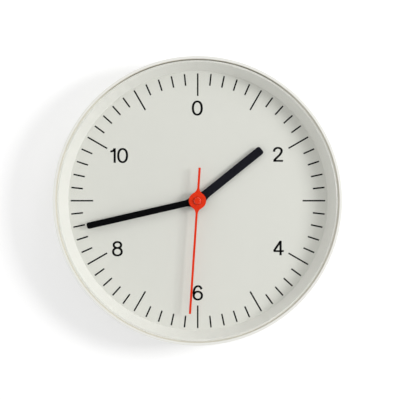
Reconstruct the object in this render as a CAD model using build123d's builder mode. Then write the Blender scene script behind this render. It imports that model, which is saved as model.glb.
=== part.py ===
"""Round wall clock with a slim moulded case, a flat lens, a dial, three hands and a quartz movement.

Millimetres. The hands turn about the Y axis, the front faces -Y, +Z is up and the wall is the plane y = 0.
Depths are measured from the wall towards the front, and clock angles clockwise from twelve.
"""
import math
import os

from build123d import *

os.makedirs("parts", exist_ok=True)

# Case: rim, lens seat, sloping inner wall and dial seat
case_radius = 132.5
lip_width = 3.6
lip_draft = 1.2
lip_bevel = 0.5
lens_gap = 0.2
lens_thickness = 2.0
lens_drop = 0.3
ledge_width = 1.7
bowl_depth = 17.7
bowl_spread = 7.2
bowl_wall = 2.0
case_wall = 2.2
case_draft = 1.8
pry_notch = 0.9

# Dial
dial_thickness = 1.5
dial_overlap = 2.7
dial_gap = 0.3
skirt_wall = 1.8
skirt_drop = 1.5

# Back cover, its screws and the hanger keyhole
cover_depth = 5.0
cover_plate = 2.2
cover_bevel = 1.4
cover_flange = 9.5
rib_count = 6
rib_wall = 2.0
rib_start = 60.0
rib_pad = 8.0
rib_rise = 4.0
rib_inset = 4.0
opening_gap = 0.9
opening_round = 3.0
boss_radius = 2.4
boss_length = 9.0
boss_merge = 0.5
screw_count = 3
screw_radius = 1.0
screw_hole_gap = 0.05
screw_reach = 7.0
screw_head_radius = 1.9
screw_head_height = 1.3
screw_head_sink = 1.2
screw_head_gap = 0.2
hanger_height = 70.0
hanger_entry_radius = 4.5
hanger_slot_width = 4.4
hanger_slot_rise = 9.0

# Movement housing and battery
movement_corner = 2.0
movement_wall_gap = 2.3
housing_front = 1.0
housing_side = 1.2
housing_lid = 1.7
train_gap = 0.7
battery_radius = 7.25
battery_length = 50.5
battery_nub_radius = 2.75
battery_nub_length = 1.2
battery_gap = 0.3
battery_side_gap = 0.5
battery_proud = 0.6
battery_bevel = 0.5
latch_width = 8.0
latch_thickness = 1.0
latch_gap = 0.1
latch_reach = 5.7
lug_height = 0.9
lug_width = 4.0
lug_length = 1.2
lug_drop = 3.4

# Centre fixing
gasket_thickness = 1.0
gasket_radius = 10.0
bushing_radius = 3.9
bushing_end = 2.8
press_gap = 0.02
dial_hole_gap = 0.2
washer_radius = 7.0
washer_thickness = 0.5
nut_thickness = 2.0
nut_flats = 11.0

# Coaxial shafts
minute_pipe_wall = 0.94
hour_pipe_wall = 0.88
shaft_gap = 0.06
arbor_radius = 0.6
arbor_end = 0.3
pivot_depth = 0.6
setting_arbor_radius = 0.8

# Teeth: counts, modules and form
second_wheel_teeth = 30
intermediate_pinion_teeth = 6
intermediate_wheel_teeth = 36
rotor_pinion_teeth = 6
second_pinion_teeth = 6
third_wheel_teeth = 45
third_pinion_teeth = 6
minute_wheel_teeth = 48
cannon_pinion_teeth = 10
motion_wheel_teeth = 30
motion_pinion_teeth = 8
hour_wheel_teeth = 32
rotor_module = 0.39
intermediate_module = 0.465
motion_module = 0.55
third_gap = 0.36
tooth_share = 0.76
addendum = 0.8
dedendum = 1.1
pinion_flank = 14.0
wheel_flank = 22.0
wheel_thickness = 0.8
pinion_margin = 0.3
end_play = 0.3
layer_gap = 0.4
clutch_flange_height = 0.6
clutch_flange_rim = 1.6
clutch_spring_thickness = 0.2
clutch_spring_rim = 1.9
clutch_gap = 0.05
pipe_lip_height = 0.3
pipe_lip_rim = 0.7

# Arbor directions round the centre, counterclockwise from three o'clock
intermediate_direction = 82.0
rotor_direction = 40.0
third_direction = 150.0
motion_direction = 20.0

# Stepping motor
magnet_radius = 2.7
magnet_height = 2.4
stator_hole_gap = 0.6
stator_thickness = 0.8
stator_rim = 1.7
stator_arm = 3.5
core_width = 3.0
coil_size = 7.6
winding_drop = 0.4
coil_length = 26.4
bobbin_wall = 0.8
bobbin_flange = 1.0
coil_gap = 0.1
coil_wall_gap = 0.6
coil_middle = 4.0
arm_gap = 0.8

# Train bridge, circuit board and contacts
bridge_thickness = 0.8
bridge_play = 0.1
bridge_margin = 2.0
bridge_post_radius = 1.6
bridge_post_gap = 0.4
left_post_directions = (110.0, 207.0)
right_post_directions = (-50.0, 60.0)
board_thickness = 1.0
board_width = 9.8
board_rise = 1.1
board_edge_gap = 0.15
board_end_gap = 1.3
board_post_radius = 1.5
board_post_low = 12.0
board_post_high = 2.5
chip_radius = 3.0
chip_height = 1.0
chip_bevel = 0.6
chip_rise = 16.0
crystal_radius = 1.05
crystal_length = 6.2
crystal_gap = 0.1
crystal_rise = 21.0
contact_thickness = 0.3
contact_width = 7.5
contact_gap = 0.1
contact_room = 1.55
contact_drop = 5.8
contact_kink = 3.5
contact_bend = 0.8
contact_rise = 7.0
contact_run = 2.0
contact_turn = 3.0
contact_end = 1.0

# Setting knob
knob_radius = 5.5
knob_thickness = 1.5
knob_gap = 0.2
knob_grips = 14

# Hands
hand_thickness = 0.6
hub_radius = 7.7
hub_flare = 10.0
hour_angle = 51.2
hour_tip_gap = 44.2
hour_root_width = 7.9
hour_tip_width = 7.9
hour_corner = 2.3
minute_angle = 257.1
minute_tip_gap = 15.1
minute_root_width = 5.95
minute_tip_width = 6.0
minute_corner = 2.0
second_angle = 183.8
second_tip_gap = 15.5
second_tail = 30.6
second_width = 2.1
second_hub_radius = 8.0
second_flare = 6.5
second_boss_radius = 3.3
second_boss_height = 2.0
second_boss_round = 0.9
collet_wall = 0.9
collet_length = 0.8
hand_gap = 1.1
hand_clear = 0.5

# Wheel places in the plane of the dial
def polar(start, distance, direction):
    """The point at a distance and a counterclockwise direction from another."""
    turn = math.radians(direction)
    return (start[0] + distance * math.cos(turn), start[1] + distance * math.sin(turn))


centre = (0.0, 0.0)
second_spacing = (second_wheel_teeth + intermediate_pinion_teeth) * intermediate_module / 2
rotor_spacing = (intermediate_wheel_teeth + rotor_pinion_teeth) * rotor_module / 2
motion_spacing = (cannon_pinion_teeth + motion_wheel_teeth) * motion_module / 2
motion_reach = (motion_wheel_teeth / 2 + addendum) * motion_module
hour_module = 2 * motion_spacing / (motion_pinion_teeth + hour_wheel_teeth)
hour_reach = (hour_wheel_teeth / 2 + addendum) * hour_module
third_spacing = hour_reach + arbor_radius + third_gap
second_module = 2 * third_spacing / (second_pinion_teeth + third_wheel_teeth)
minute_module = 2 * third_spacing / (third_pinion_teeth + minute_wheel_teeth)
minute_reach = (minute_wheel_teeth / 2 + addendum) * minute_module
intermediate_place = polar(centre, second_spacing, intermediate_direction)
rotor_place = polar(intermediate_place, rotor_spacing, rotor_direction)
third_place = polar(centre, third_spacing, third_direction)
motion_place = polar(centre, motion_spacing, motion_direction)

# Movement box round the cell, the train and the walls
centre_reach = max(minute_reach, hour_reach)
inside_wide = battery_length / 2 + contact_room
inside_tall = centre_reach + train_gap + housing_side + 2 * (battery_radius + battery_side_gap)
half_wide = inside_wide + housing_side
half_tall = inside_tall + housing_side
partition_low = 2 * (battery_radius + battery_side_gap) - inside_tall
partition_high = partition_low + housing_side
battery_height = (partition_low - inside_tall) / 2

# Depth stack from the wall to the rim
movement_depth = housing_front + battery_gap + 2 * battery_radius - battery_proud
movement_back = movement_wall_gap
movement_front = movement_back + movement_depth
dial_back = movement_front + gasket_thickness
dial_front = dial_back + dial_thickness
lens_back = dial_front + bowl_depth
lens_front = lens_back + lens_thickness
case_front = lens_front + lens_drop

# Radii of the case
recess_radius = case_radius - lip_width
lens_radius = recess_radius - lens_gap
bowl_top_radius = recess_radius - ledge_width
sight_radius = bowl_top_radius - bowl_spread
dial_radius = sight_radius + dial_overlap
skirt_inner = dial_radius + dial_gap
skirt_outer = skirt_inner + skirt_wall
skirt_back = dial_back - skirt_drop
parting_radius = case_radius - case_draft
wall_inner = parting_radius - case_wall
boss_circle = wall_inner - boss_radius + boss_merge

# Depths inside the movement, from its front wall towards its lid
chamber_front = movement_front - housing_front
hour_wheel_front = chamber_front - end_play
hour_wheel_back = hour_wheel_front - wheel_thickness
motion_wheel_front = hour_wheel_back - layer_gap
motion_wheel_back = motion_wheel_front - wheel_thickness
cannon_front = hour_wheel_back - pinion_margin
cannon_back = motion_wheel_back - pinion_margin
clutch_flange_back = cannon_back - clutch_flange_height
minute_wheel_front = clutch_flange_back - clutch_gap
minute_wheel_back = minute_wheel_front - wheel_thickness
clutch_spring_front = minute_wheel_back - clutch_gap
clutch_spring_back = clutch_spring_front - clutch_spring_thickness
minute_pipe_back = clutch_spring_back - pipe_lip_height
bridge_front = minute_pipe_back - bridge_play
bridge_back = bridge_front - bridge_thickness
third_wheel_front = bridge_back - layer_gap
third_wheel_back = third_wheel_front - wheel_thickness
stator_front = third_wheel_back - end_play
stator_back = stator_front - stator_thickness
second_wheel_front = third_wheel_back - layer_gap - 2 * pinion_margin
second_wheel_back = second_wheel_front - wheel_thickness
intermediate_wheel_front = second_wheel_back - layer_gap - 2 * pinion_margin
intermediate_wheel_back = intermediate_wheel_front - wheel_thickness
lid_front = movement_back + housing_lid
board_back = bridge_front + board_rise
board_front = board_back + board_thickness

# Coaxial radii
minute_bore = arbor_radius + shaft_gap
minute_pipe_radius = minute_bore + minute_pipe_wall
hour_bore = minute_pipe_radius + shaft_gap
hour_pipe_radius = hour_bore + hour_pipe_wall
bushing_bore = hour_pipe_radius + shaft_gap

# Depths of the fixing and the hands in front of the dial
nut_back = dial_front + washer_thickness
bushing_front = dial_front + bushing_end
hour_collet_back = bushing_front + hand_clear / 2
hour_hand_back = hour_collet_back + collet_length
hour_hand_front = hour_hand_back + hand_thickness
minute_collet_back = hour_hand_front + hand_gap
minute_hand_back = minute_collet_back + collet_length
minute_hand_front = minute_hand_back + hand_thickness
second_collet_back = minute_hand_front + hand_gap - hand_clear / 2
second_hand_back = second_collet_back + collet_length
second_hand_front = second_hand_back + hand_thickness
second_boss_front = second_hand_front + second_boss_height

# Places inside the movement, measured from the hand axis
battery_depth = chamber_front - battery_gap - battery_radius
post_room = bridge_post_radius + bridge_post_gap
left_posts = [polar(centre, centre_reach + post_room, turn) for turn in left_post_directions]
right_posts = [polar(motion_place, motion_reach + post_room, turn) for turn in right_post_directions]
board_left = contact_thickness + 2 * contact_gap - inside_wide
board_right = board_left + board_width
board_low = partition_high + board_edge_gap
board_high = inside_tall - board_end_gap
board_middle = (board_left + board_right) / 2
board_posts = ((board_middle, board_low + board_post_low), (board_middle, board_high - board_post_high))
coil_height = inside_tall - coil_wall_gap - coil_size / 2
stator_low = rotor_place[1] - magnet_radius
stator_high = coil_height - coil_size / 2 - layer_gap
arm_offset = coil_length / 2 + arm_gap + stator_arm / 2


def post(places, radius, back, front, mode=Mode.ADD):
    """Round posts, or holes, along the hand axis between two depths."""
    with BuildSketch(Plane.XZ.offset(back)) as section:
        with Locations(*places):
            Circle(radius)
    extrude(section.sketch, amount=front - back, mode=mode)


def tube(outer, inner, back, front, place=(0.0, 0.0)):
    """A round tube along the hand axis between two depths."""
    with BuildSketch(Plane.XZ.offset(back)) as section:
        with Locations(place):
            Circle(outer)
            Circle(inner, mode=Mode.SUBTRACT)
    extrude(section.sketch, amount=front - back)


def block(low, high, back, front, mode=Mode.ADD):
    """A straight-sided block between two corners in the dial's plane and two depths."""
    with BuildSketch(Plane.XZ.offset(back)) as section:
        with Locations(((low[0] + high[0]) / 2, (low[1] + high[1]) / 2)):
            Rectangle(high[0] - low[0], high[1] - low[1])
    extrude(section.sketch, amount=front - back, mode=mode)


def toothed(teeth, module, flank, place, phase, back, front, bore=0.0):
    """A toothed wheel with straight flanks. The phase is the direction of one tooth, in radians."""
    pitch_radius = teeth * module / 2
    tip_radius = pitch_radius + addendum * module
    root_radius = pitch_radius - dedendum * module
    slope = math.tan(math.radians(flank))
    half = math.pi / 4 * tooth_share * module
    tip_half = (half - addendum * module * slope) / tip_radius
    root_half = (half + dedendum * module * slope) / root_radius
    corners = []
    for tooth in range(teeth):
        middle = phase + 2 * math.pi * tooth / teeth
        for radius, side in (
            (root_radius, -root_half),
            (tip_radius, -tip_half),
            (tip_radius, tip_half),
            (root_radius, root_half),
        ):
            corners.append(polar(place, radius, math.degrees(middle + side)))
    with BuildSketch(Plane.XZ.offset(back)) as section:
        with BuildLine():
            Polyline(*corners, close=True)
        make_face()
        if bore:
            with Locations(place):
                Circle(bore, mode=Mode.SUBTRACT)
    extrude(section.sketch, amount=front - back)


def mate_phase(place, teeth, module, other_place, other_teeth, phase=0.0):
    """The phase that puts another wheel's gap on the line of centres where this one has a tooth."""
    line = math.atan2(other_place[1] - place[1], other_place[0] - place[0])
    run = (phase - line) * teeth * module / 2 + math.pi * module / 2
    return line + math.pi - run / (other_teeth * module / 2)


def hand_plane(depth, angle):
    """A plane at a depth whose upward direction is a clock angle."""
    turn = math.radians(angle)
    return Plane(origin=(0, -depth, 0), x_dir=(math.cos(turn), 0, -math.sin(turn)), z_dir=(0, -1, 0))


def save(piece, name):
    """Label a finished piece and write its file."""
    piece.part.label = name
    export_step(piece.part, f"parts/{name}.step")


# Front ring: lip, drafted lens rebate, drafted outer wall and the sloping wall down to the dial seat
ledge_back = lens_back - (bowl_top_radius + bowl_wall - wall_inner) * bowl_depth / bowl_spread
with BuildPart() as front_ring:
    with BuildSketch(Plane.XY):
        with BuildLine():
            Polyline(
                (sight_radius, -dial_front),
                (bowl_top_radius, -lens_back),
                (recess_radius, -lens_back),
                (recess_radius + lip_draft, -case_front),
                (case_radius - lip_bevel, -case_front),
                (case_radius, -case_front + lip_bevel),
                (parting_radius, -cover_depth),
                (wall_inner, -cover_depth),
                (wall_inner, -ledge_back),
                (skirt_outer, -skirt_back),
                (skirt_inner, -skirt_back),
                (skirt_inner, -dial_front),
                close=True,
            )
        make_face()
    revolve(axis=Axis.Y)
    with BuildSketch(Plane.XZ.offset(cover_depth)):
        with PolarLocations(boss_circle, screw_count, start_angle=180 / screw_count):
            Circle(boss_radius)
            Circle(screw_radius + screw_hole_gap, mode=Mode.SUBTRACT)
    extrude(amount=boss_length)
save(front_ring, "front_ring")

# Lens: flat clear disc on the ledge, with a small notch at six o'clock to lift it out
with BuildPart() as lens:
    with BuildSketch(Plane.XZ.offset(lens_back)):
        Circle(lens_radius)
        with Locations((0, -lens_radius)):
            Circle(pry_notch, mode=Mode.SUBTRACT)
    extrude(amount=lens_thickness)
save(lens, "lens")

# Dial: thin plate against the seat, with a clear hole for the centre fixing
with BuildPart() as dial:
    with BuildSketch(Plane.XZ.offset(dial_back)):
        Circle(dial_radius)
        Circle(bushing_radius + dial_hole_gap, mode=Mode.SUBTRACT)
    extrude(amount=dial_thickness)
save(dial, "dial")

# Back cover: bevelled flange, flat plate, ribs that clamp the dial, movement opening and keyhole
flange_inner = parting_radius - cover_flange
rib_outer = dial_radius - rib_inset
opening_wide = 2 * (half_wide + latch_gap + latch_thickness + opening_gap)
opening_tall = 2 * (half_tall + latch_gap + latch_thickness + opening_gap)
with BuildPart() as back_cover:
    with BuildSketch(Plane.XY):
        with BuildLine():
            Polyline(
                (0, 0),
                (parting_radius - cover_bevel, 0),
                (parting_radius, -cover_bevel),
                (parting_radius, -cover_depth),
                (flange_inner, -cover_depth),
                (flange_inner, -cover_plate),
                (0, -cover_plate),
                close=True,
            )
        make_face()
    revolve(axis=Axis.Y)
    for rib in range(rib_count):
        turn = 2 * math.pi * rib / rib_count
        outward = (math.cos(turn), 0, math.sin(turn))
        with BuildSketch(Plane(origin=(0, 0, 0), x_dir=outward, z_dir=(-outward[2], 0, outward[0]))):
            with BuildLine():
                Polyline(
                    (rib_start, -cover_plate),
                    (rib_outer, -cover_plate),
                    (rib_outer, -dial_back),
                    (rib_outer - rib_pad, -dial_back),
                    (rib_start, -cover_plate - rib_rise),
                    close=True,
                )
            make_face()
        extrude(amount=rib_wall / 2, both=True)
    with BuildSketch(Plane.XZ):
        RectangleRounded(opening_wide, opening_tall, opening_round)
        with Locations((0, hanger_height)):
            Circle(hanger_entry_radius)
        with Locations((0, hanger_height + hanger_slot_rise / 2)):
            Rectangle(hanger_slot_width, hanger_slot_rise)
        with Locations((0, hanger_height + hanger_slot_rise)):
            Circle(hanger_slot_width / 2)
    extrude(amount=cover_plate, mode=Mode.SUBTRACT)
    with BuildSketch(Plane.XZ):
        with PolarLocations(boss_circle, screw_count, start_angle=180 / screw_count):
            Circle(screw_head_radius + screw_head_gap)
    extrude(amount=screw_head_sink + screw_head_height, mode=Mode.SUBTRACT)
    with BuildSketch(Plane.XZ):
        with PolarLocations(boss_circle, screw_count, start_angle=180 / screw_count):
            Circle(screw_radius + screw_hole_gap)
    extrude(amount=cover_depth, mode=Mode.SUBTRACT)
save(back_cover, "back_cover")

# Cover screws: flat heads sunk in the flange, shanks in the ring's bosses
screw_shoulder = screw_head_sink + screw_head_height
with BuildPart() as back_screws:
    with BuildSketch(Plane.XZ.offset(screw_head_sink)):
        with PolarLocations(boss_circle, screw_count, start_angle=180 / screw_count):
            Circle(screw_head_radius)
    extrude(amount=screw_head_height)
    with BuildSketch(Plane.XZ.offset(screw_shoulder)):
        with PolarLocations(boss_circle, screw_count, start_angle=180 / screw_count):
            Circle(screw_radius)
    extrude(amount=cover_depth - screw_shoulder + screw_reach)
save(back_screws, "back_screws")

# Movement housing: moulded box with a gear chamber above and a battery bay below, open at the back
with BuildPart() as movement_housing:
    with BuildSketch(Plane.XZ.offset(movement_back)):
        RectangleRounded(2 * half_wide, 2 * half_tall, movement_corner)
    extrude(amount=movement_depth)
    lid_low = (-half_wide, partition_low)
    block(lid_low, (half_wide, half_tall), movement_back, lid_front, Mode.SUBTRACT)
    chamber_low = (-inside_wide, partition_high)
    block(chamber_low, (inside_wide, inside_tall), lid_front, chamber_front, Mode.SUBTRACT)
    bay_low = (-inside_wide, -inside_tall)
    block(bay_low, (inside_wide, partition_low), movement_back, chamber_front, Mode.SUBTRACT)
    slot_width = contact_thickness + 4 * contact_gap
    for slot_left in (-inside_wide, inside_wide - slot_width):
        slot_low = (slot_left, partition_low)
        block(slot_low, (slot_left + slot_width, partition_high), lid_front, chamber_front, Mode.SUBTRACT)
    post([centre], bushing_radius + press_gap, chamber_front, movement_front, Mode.SUBTRACT)
    pivot_front = chamber_front + pivot_depth
    post([third_place], arbor_radius + shaft_gap, chamber_front, pivot_front, Mode.SUBTRACT)
    post([motion_place], setting_arbor_radius + shaft_gap, chamber_front, pivot_front, Mode.SUBTRACT)
    post(left_posts + right_posts, bridge_post_radius, bridge_front, chamber_front)
    post(board_posts, board_post_radius, board_front, chamber_front)
    with BuildSketch(Plane.XZ.offset(movement_back + lug_drop)):
        with GridLocations(2 * half_wide + lug_height, 0, 2, 1):
            with Locations((0, latch_width)):
                Rectangle(lug_height, lug_width)
    extrude(amount=lug_length)
save(movement_housing, "movement_housing")

# Movement lid: plate over the gear chamber with two side latches that hook over the housing's lugs
with BuildPart() as movement_lid:
    with BuildSketch(Plane.XZ.offset(movement_back)):
        with Locations((0, (half_tall + partition_low) / 2)):
            Rectangle(2 * half_wide, half_tall - partition_low)
        with Locations((0, latch_width)):
            Rectangle(2 * (half_wide + latch_gap + latch_thickness), latch_width)
    extrude(amount=housing_lid)
    with BuildSketch(Plane.XZ.offset(lid_front)):
        with GridLocations(2 * (half_wide + latch_gap) + latch_thickness, 0, 2, 1):
            with Locations((0, latch_width)):
                Rectangle(latch_thickness, latch_width)
    extrude(amount=latch_reach - housing_lid)
    with BuildSketch(Plane.XZ.offset(movement_back + lug_drop - latch_gap)):
        with GridLocations(2 * (half_wide + latch_gap) + latch_thickness, 0, 2, 1):
            with Locations((0, latch_width)):
                Rectangle(latch_thickness, lug_width + 4 * latch_gap)
    extrude(amount=lug_length + 2 * latch_gap, mode=Mode.SUBTRACT)
    post([motion_place], setting_arbor_radius + shaft_gap, movement_back, lid_front, Mode.SUBTRACT)
    lid_pivots = [centre, third_place, intermediate_place, rotor_place]
    post(lid_pivots, arbor_radius + shaft_gap, lid_front - pivot_depth, lid_front, Mode.SUBTRACT)
save(movement_lid, "movement_lid")

# Centre fixing: threaded bushing through the dial, rubber gasket behind it, washer and nut in front
with BuildPart() as shaft_bushing:
    tube(bushing_radius, bushing_bore, chamber_front, bushing_front)
save(shaft_bushing, "shaft_bushing")

with BuildPart() as dial_gasket:
    tube(gasket_radius, bushing_radius + dial_hole_gap, movement_front, dial_back)
save(dial_gasket, "dial_gasket")

with BuildPart() as shaft_washer:
    tube(washer_radius, bushing_radius + dial_hole_gap, dial_front, nut_back)
save(shaft_washer, "shaft_washer")

with BuildPart() as shaft_nut:
    with BuildSketch(Plane.XZ.offset(nut_back)):
        RegularPolygon(nut_flats / 2, 6, major_radius=False)
        Circle(bushing_radius + press_gap, mode=Mode.SUBTRACT)
    extrude(amount=nut_thickness)
save(shaft_nut, "shaft_nut")

# Train bridge: plate on the housing's posts, with two ears that carry the motor
ear_high = coil_height - core_width / 2 - coil_gap
arm_places = [(coil_middle + side * arm_offset, ear_high - stator_rim) for side in (-1, 1)]
with BuildPart() as train_bridge:
    with BuildSketch(Plane.XZ.offset(bridge_back)):
        with BuildLine():
            Polyline(
                (left_posts[1][0] - bridge_margin, left_posts[1][1] - bridge_margin),
                (right_posts[0][0] + bridge_margin, right_posts[0][1] - bridge_margin),
                (arm_places[1][0] + bridge_margin, stator_high - 2 * bridge_margin),
                (arm_places[1][0] + bridge_margin, ear_high),
                (arm_places[1][0] - stator_arm / 2, ear_high),
                (arm_places[1][0] - stator_arm / 2, stator_high),
                (arm_places[0][0] + stator_arm / 2, stator_high),
                (arm_places[0][0] + stator_arm / 2, ear_high),
                (arm_places[0][0] - bridge_margin, ear_high),
                (arm_places[0][0] - bridge_margin, stator_high - 2 * bridge_margin),
                close=True,
            )
        make_face()
    extrude(amount=bridge_thickness)
    post(arm_places, stator_rim, stator_front, bridge_back)
    third_pinion_tip = (third_pinion_teeth / 2 + addendum) * minute_module
    bridge_pivots = [centre, intermediate_place, rotor_place]
    post(bridge_pivots, arbor_radius + shaft_gap, bridge_back, bridge_front, Mode.SUBTRACT)
    post([third_place], third_pinion_tip + layer_gap, bridge_back, bridge_front, Mode.SUBTRACT)
    post([motion_place], setting_arbor_radius + shaft_gap, bridge_back, bridge_front, Mode.SUBTRACT)
save(train_bridge, "train_bridge")

# Stepping motor: notched stator plate, core bar on its arms, bobbin and winding on the core
rotor_hole_radius = magnet_radius + stator_hole_gap
with BuildPart() as stator:
    with BuildSketch(Plane.XZ.offset(stator_back)):
        with Locations((coil_middle, (stator_low + stator_high) / 2)):
            Rectangle(2 * arm_offset + stator_arm, stator_high - stator_low)
        with Locations(rotor_place):
            Circle(rotor_hole_radius + stator_rim)
        with GridLocations(2 * arm_offset, 0, 2, 1):
            with Locations((coil_middle, (stator_low + coil_height + core_width) / 2)):
                Rectangle(stator_arm, coil_height + core_width - stator_low)
        with Locations(rotor_place):
            Circle(rotor_hole_radius, mode=Mode.SUBTRACT)
            with PolarLocations(rotor_hole_radius, 2, start_angle=rotor_direction):
                Circle(stator_hole_gap, mode=Mode.SUBTRACT)
    extrude(amount=stator_thickness)
save(stator, "stator")

with BuildPart() as coil_core:
    core_half = arm_offset + stator_arm / 2
    block(
        (coil_middle - core_half, coil_height - core_width / 2),
        (coil_middle + core_half, coil_height + core_width / 2),
        stator_front,
        stator_front + stator_thickness,
    )
save(coil_core, "coil_core")


def coil_plane(shift):
    """A plane across the coil's axis, shifted along it from the coil's left end."""
    depth = stator_front + stator_thickness / 2
    left = coil_middle - coil_length / 2
    return Plane(origin=(left + shift, -depth, coil_height), x_dir=(0, 1, 0), z_dir=(1, 0, 0))


tunnel_depth = stator_thickness + 2 * coil_gap
tunnel_height = core_width + 2 * coil_gap
with BuildPart() as coil_bobbin:
    with BuildSketch(coil_plane(0)):
        Rectangle(tunnel_depth + 2 * bobbin_wall, tunnel_height + 2 * bobbin_wall)
    extrude(amount=coil_length)
    for shift in (0, coil_length - bobbin_flange):
        with BuildSketch(coil_plane(shift)):
            Rectangle(coil_size, coil_size)
        extrude(amount=bobbin_flange)
    with BuildSketch(coil_plane(0)):
        Rectangle(tunnel_depth, tunnel_height)
    extrude(amount=coil_length, mode=Mode.SUBTRACT)
save(coil_bobbin, "coil_bobbin")

with BuildPart() as coil_winding:
    with BuildSketch(coil_plane(bobbin_flange + coil_gap)):
        Rectangle(coil_size - 2 * winding_drop, coil_size - 2 * winding_drop)
        Rectangle(
            tunnel_depth + 2 * bobbin_wall + coil_gap,
            tunnel_height + 2 * bobbin_wall + coil_gap,
            mode=Mode.SUBTRACT,
        )
    extrude(amount=coil_length - 2 * bobbin_flange - 2 * coil_gap)
save(coil_winding, "coil_winding")

# Circuit board with its moulded chip and the crystal can
with BuildPart() as circuit_board:
    block((board_left, board_low), (board_right, board_high), board_back, board_front)
save(circuit_board, "circuit_board")

with BuildPart() as chip:
    with BuildSketch(Plane.XZ.offset(board_back - chip_height)):
        with Locations((board_middle, board_low + chip_rise)):
            Circle(chip_radius)
    extrude(amount=chip_height)
    chamfer(chip.edges().sort_by(Axis.Y)[-1], chip_bevel)
save(chip, "chip")

with BuildPart() as quartz_crystal:
    with BuildSketch(Plane.XY.offset(board_low + crystal_rise)):
        with Locations((board_middle, -board_back + crystal_radius + crystal_gap)):
            Circle(crystal_radius)
    extrude(amount=crystal_length)
save(quartz_crystal, "quartz_crystal")

# Battery contacts: sprung strips at the ends of the bay, led past the partition to the board
contact_line = inside_wide - contact_thickness / 2 - contact_gap
contact_peak = battery_length / 2 + contact_thickness / 2 + contact_gap
contact_low = battery_height - contact_drop
contact_back = battery_depth - contact_width / 2
with BuildPart() as contact_negative:
    with BuildSketch(Plane.XZ.offset(contact_back)):
        with BuildLine():
            FilletPolyline(
                (-contact_line, contact_low),
                (-contact_line, battery_height - contact_kink),
                (-contact_peak, battery_height),
                (-contact_line, battery_height + contact_kink),
                (-contact_line, board_low + contact_rise),
                radius=contact_bend,
            )
        trace(line_width=contact_thickness)
    extrude(amount=board_front - contact_back)
save(contact_negative, "contact_negative")

run_height = partition_high + contact_thickness / 2 + contact_gap
with BuildPart() as contact_positive:
    with BuildSketch(Plane.XZ.offset(contact_back)):
        with BuildLine():
            FilletPolyline(
                (contact_line, contact_low),
                (contact_line, battery_height - contact_kink),
                (contact_peak, battery_height),
                (contact_line, battery_height + contact_kink),
                (contact_line, run_height + contact_turn),
                radius=contact_bend,
            )
        trace(line_width=contact_thickness)
    extrude(amount=board_front + contact_run - contact_back)
    block(
        (board_left + contact_end, run_height - contact_thickness / 2),
        (contact_line, run_height + contact_thickness / 2),
        board_front,
        board_front + contact_run,
    )
save(contact_positive, "contact_positive")

# Battery: plain round cell lying across the bay, with a raised positive end
with BuildPart() as battery:
    left_middle = (-battery_length / 2, -battery_depth, battery_height)
    left_end = Plane(origin=left_middle, x_dir=(0, 1, 0), z_dir=(1, 0, 0))
    with BuildSketch(left_end):
        Circle(battery_radius)
    extrude(amount=battery_length - battery_nub_length)
    chamfer(battery.edges().filter_by(GeomType.CIRCLE), battery_bevel)
    with BuildSketch(left_end.offset(battery_length - battery_nub_length)):
        Circle(battery_nub_radius)
    extrude(amount=battery_nub_length)
save(battery, "battery")

# Rotor: ring magnet on a moulded pinion
rotor_phase = mate_phase(
    intermediate_place, intermediate_wheel_teeth, rotor_module, rotor_place, rotor_pinion_teeth
)
magnet_back = (stator_back + stator_front - magnet_height) / 2
with BuildPart() as rotor_pinion:
    toothed(
        rotor_pinion_teeth,
        rotor_module,
        pinion_flank,
        rotor_place,
        rotor_phase,
        intermediate_wheel_back - pinion_margin,
        intermediate_wheel_front + pinion_margin,
    )
    post([rotor_place], arbor_radius, lid_front - arbor_end, bridge_front)
save(rotor_pinion, "rotor_pinion")

with BuildPart() as rotor_magnet:
    tube(magnet_radius, arbor_radius + press_gap, magnet_back, magnet_back + magnet_height, rotor_place)
save(rotor_magnet, "rotor_magnet")

# Intermediate wheel between the rotor and the second wheel
intermediate_phase = mate_phase(
    centre, second_wheel_teeth, intermediate_module, intermediate_place, intermediate_pinion_teeth
)
with BuildPart() as intermediate_wheel:
    toothed(
        intermediate_wheel_teeth,
        rotor_module,
        wheel_flank,
        intermediate_place,
        0.0,
        intermediate_wheel_back,
        intermediate_wheel_front,
    )
    toothed(
        intermediate_pinion_teeth,
        intermediate_module,
        pinion_flank,
        intermediate_place,
        intermediate_phase,
        intermediate_wheel_front,
        second_wheel_front + pinion_margin,
    )
    post([intermediate_place], arbor_radius, lid_front - arbor_end, bridge_front)
save(intermediate_wheel, "intermediate_wheel")

# Second wheel: wheel, pinion and the long arbor that carries the second hand
with BuildPart() as second_wheel:
    toothed(
        second_wheel_teeth,
        intermediate_module,
        wheel_flank,
        centre,
        0.0,
        second_wheel_back,
        second_wheel_front,
    )
    toothed(
        second_pinion_teeth,
        second_module,
        pinion_flank,
        centre,
        0.0,
        second_wheel_front,
        bridge_back - shaft_gap,
    )
    post([centre], arbor_radius, lid_front - arbor_end, second_hand_front)
save(second_wheel, "second_wheel")

# Third wheel: behind the bridge it meets the second pinion, in front its pinion drives the minute wheel
third_phase = mate_phase(centre, second_pinion_teeth, second_module, third_place, third_wheel_teeth)
with BuildPart() as third_wheel:
    toothed(
        third_wheel_teeth,
        second_module,
        wheel_flank,
        third_place,
        third_phase,
        third_wheel_back,
        third_wheel_front,
    )
    toothed(
        third_pinion_teeth,
        minute_module,
        pinion_flank,
        third_place,
        0.0,
        minute_wheel_back - pinion_margin,
        minute_wheel_front + pinion_margin,
    )
    post([third_place], arbor_radius, lid_front - arbor_end, chamber_front + arbor_end)
save(third_wheel, "third_wheel")

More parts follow.
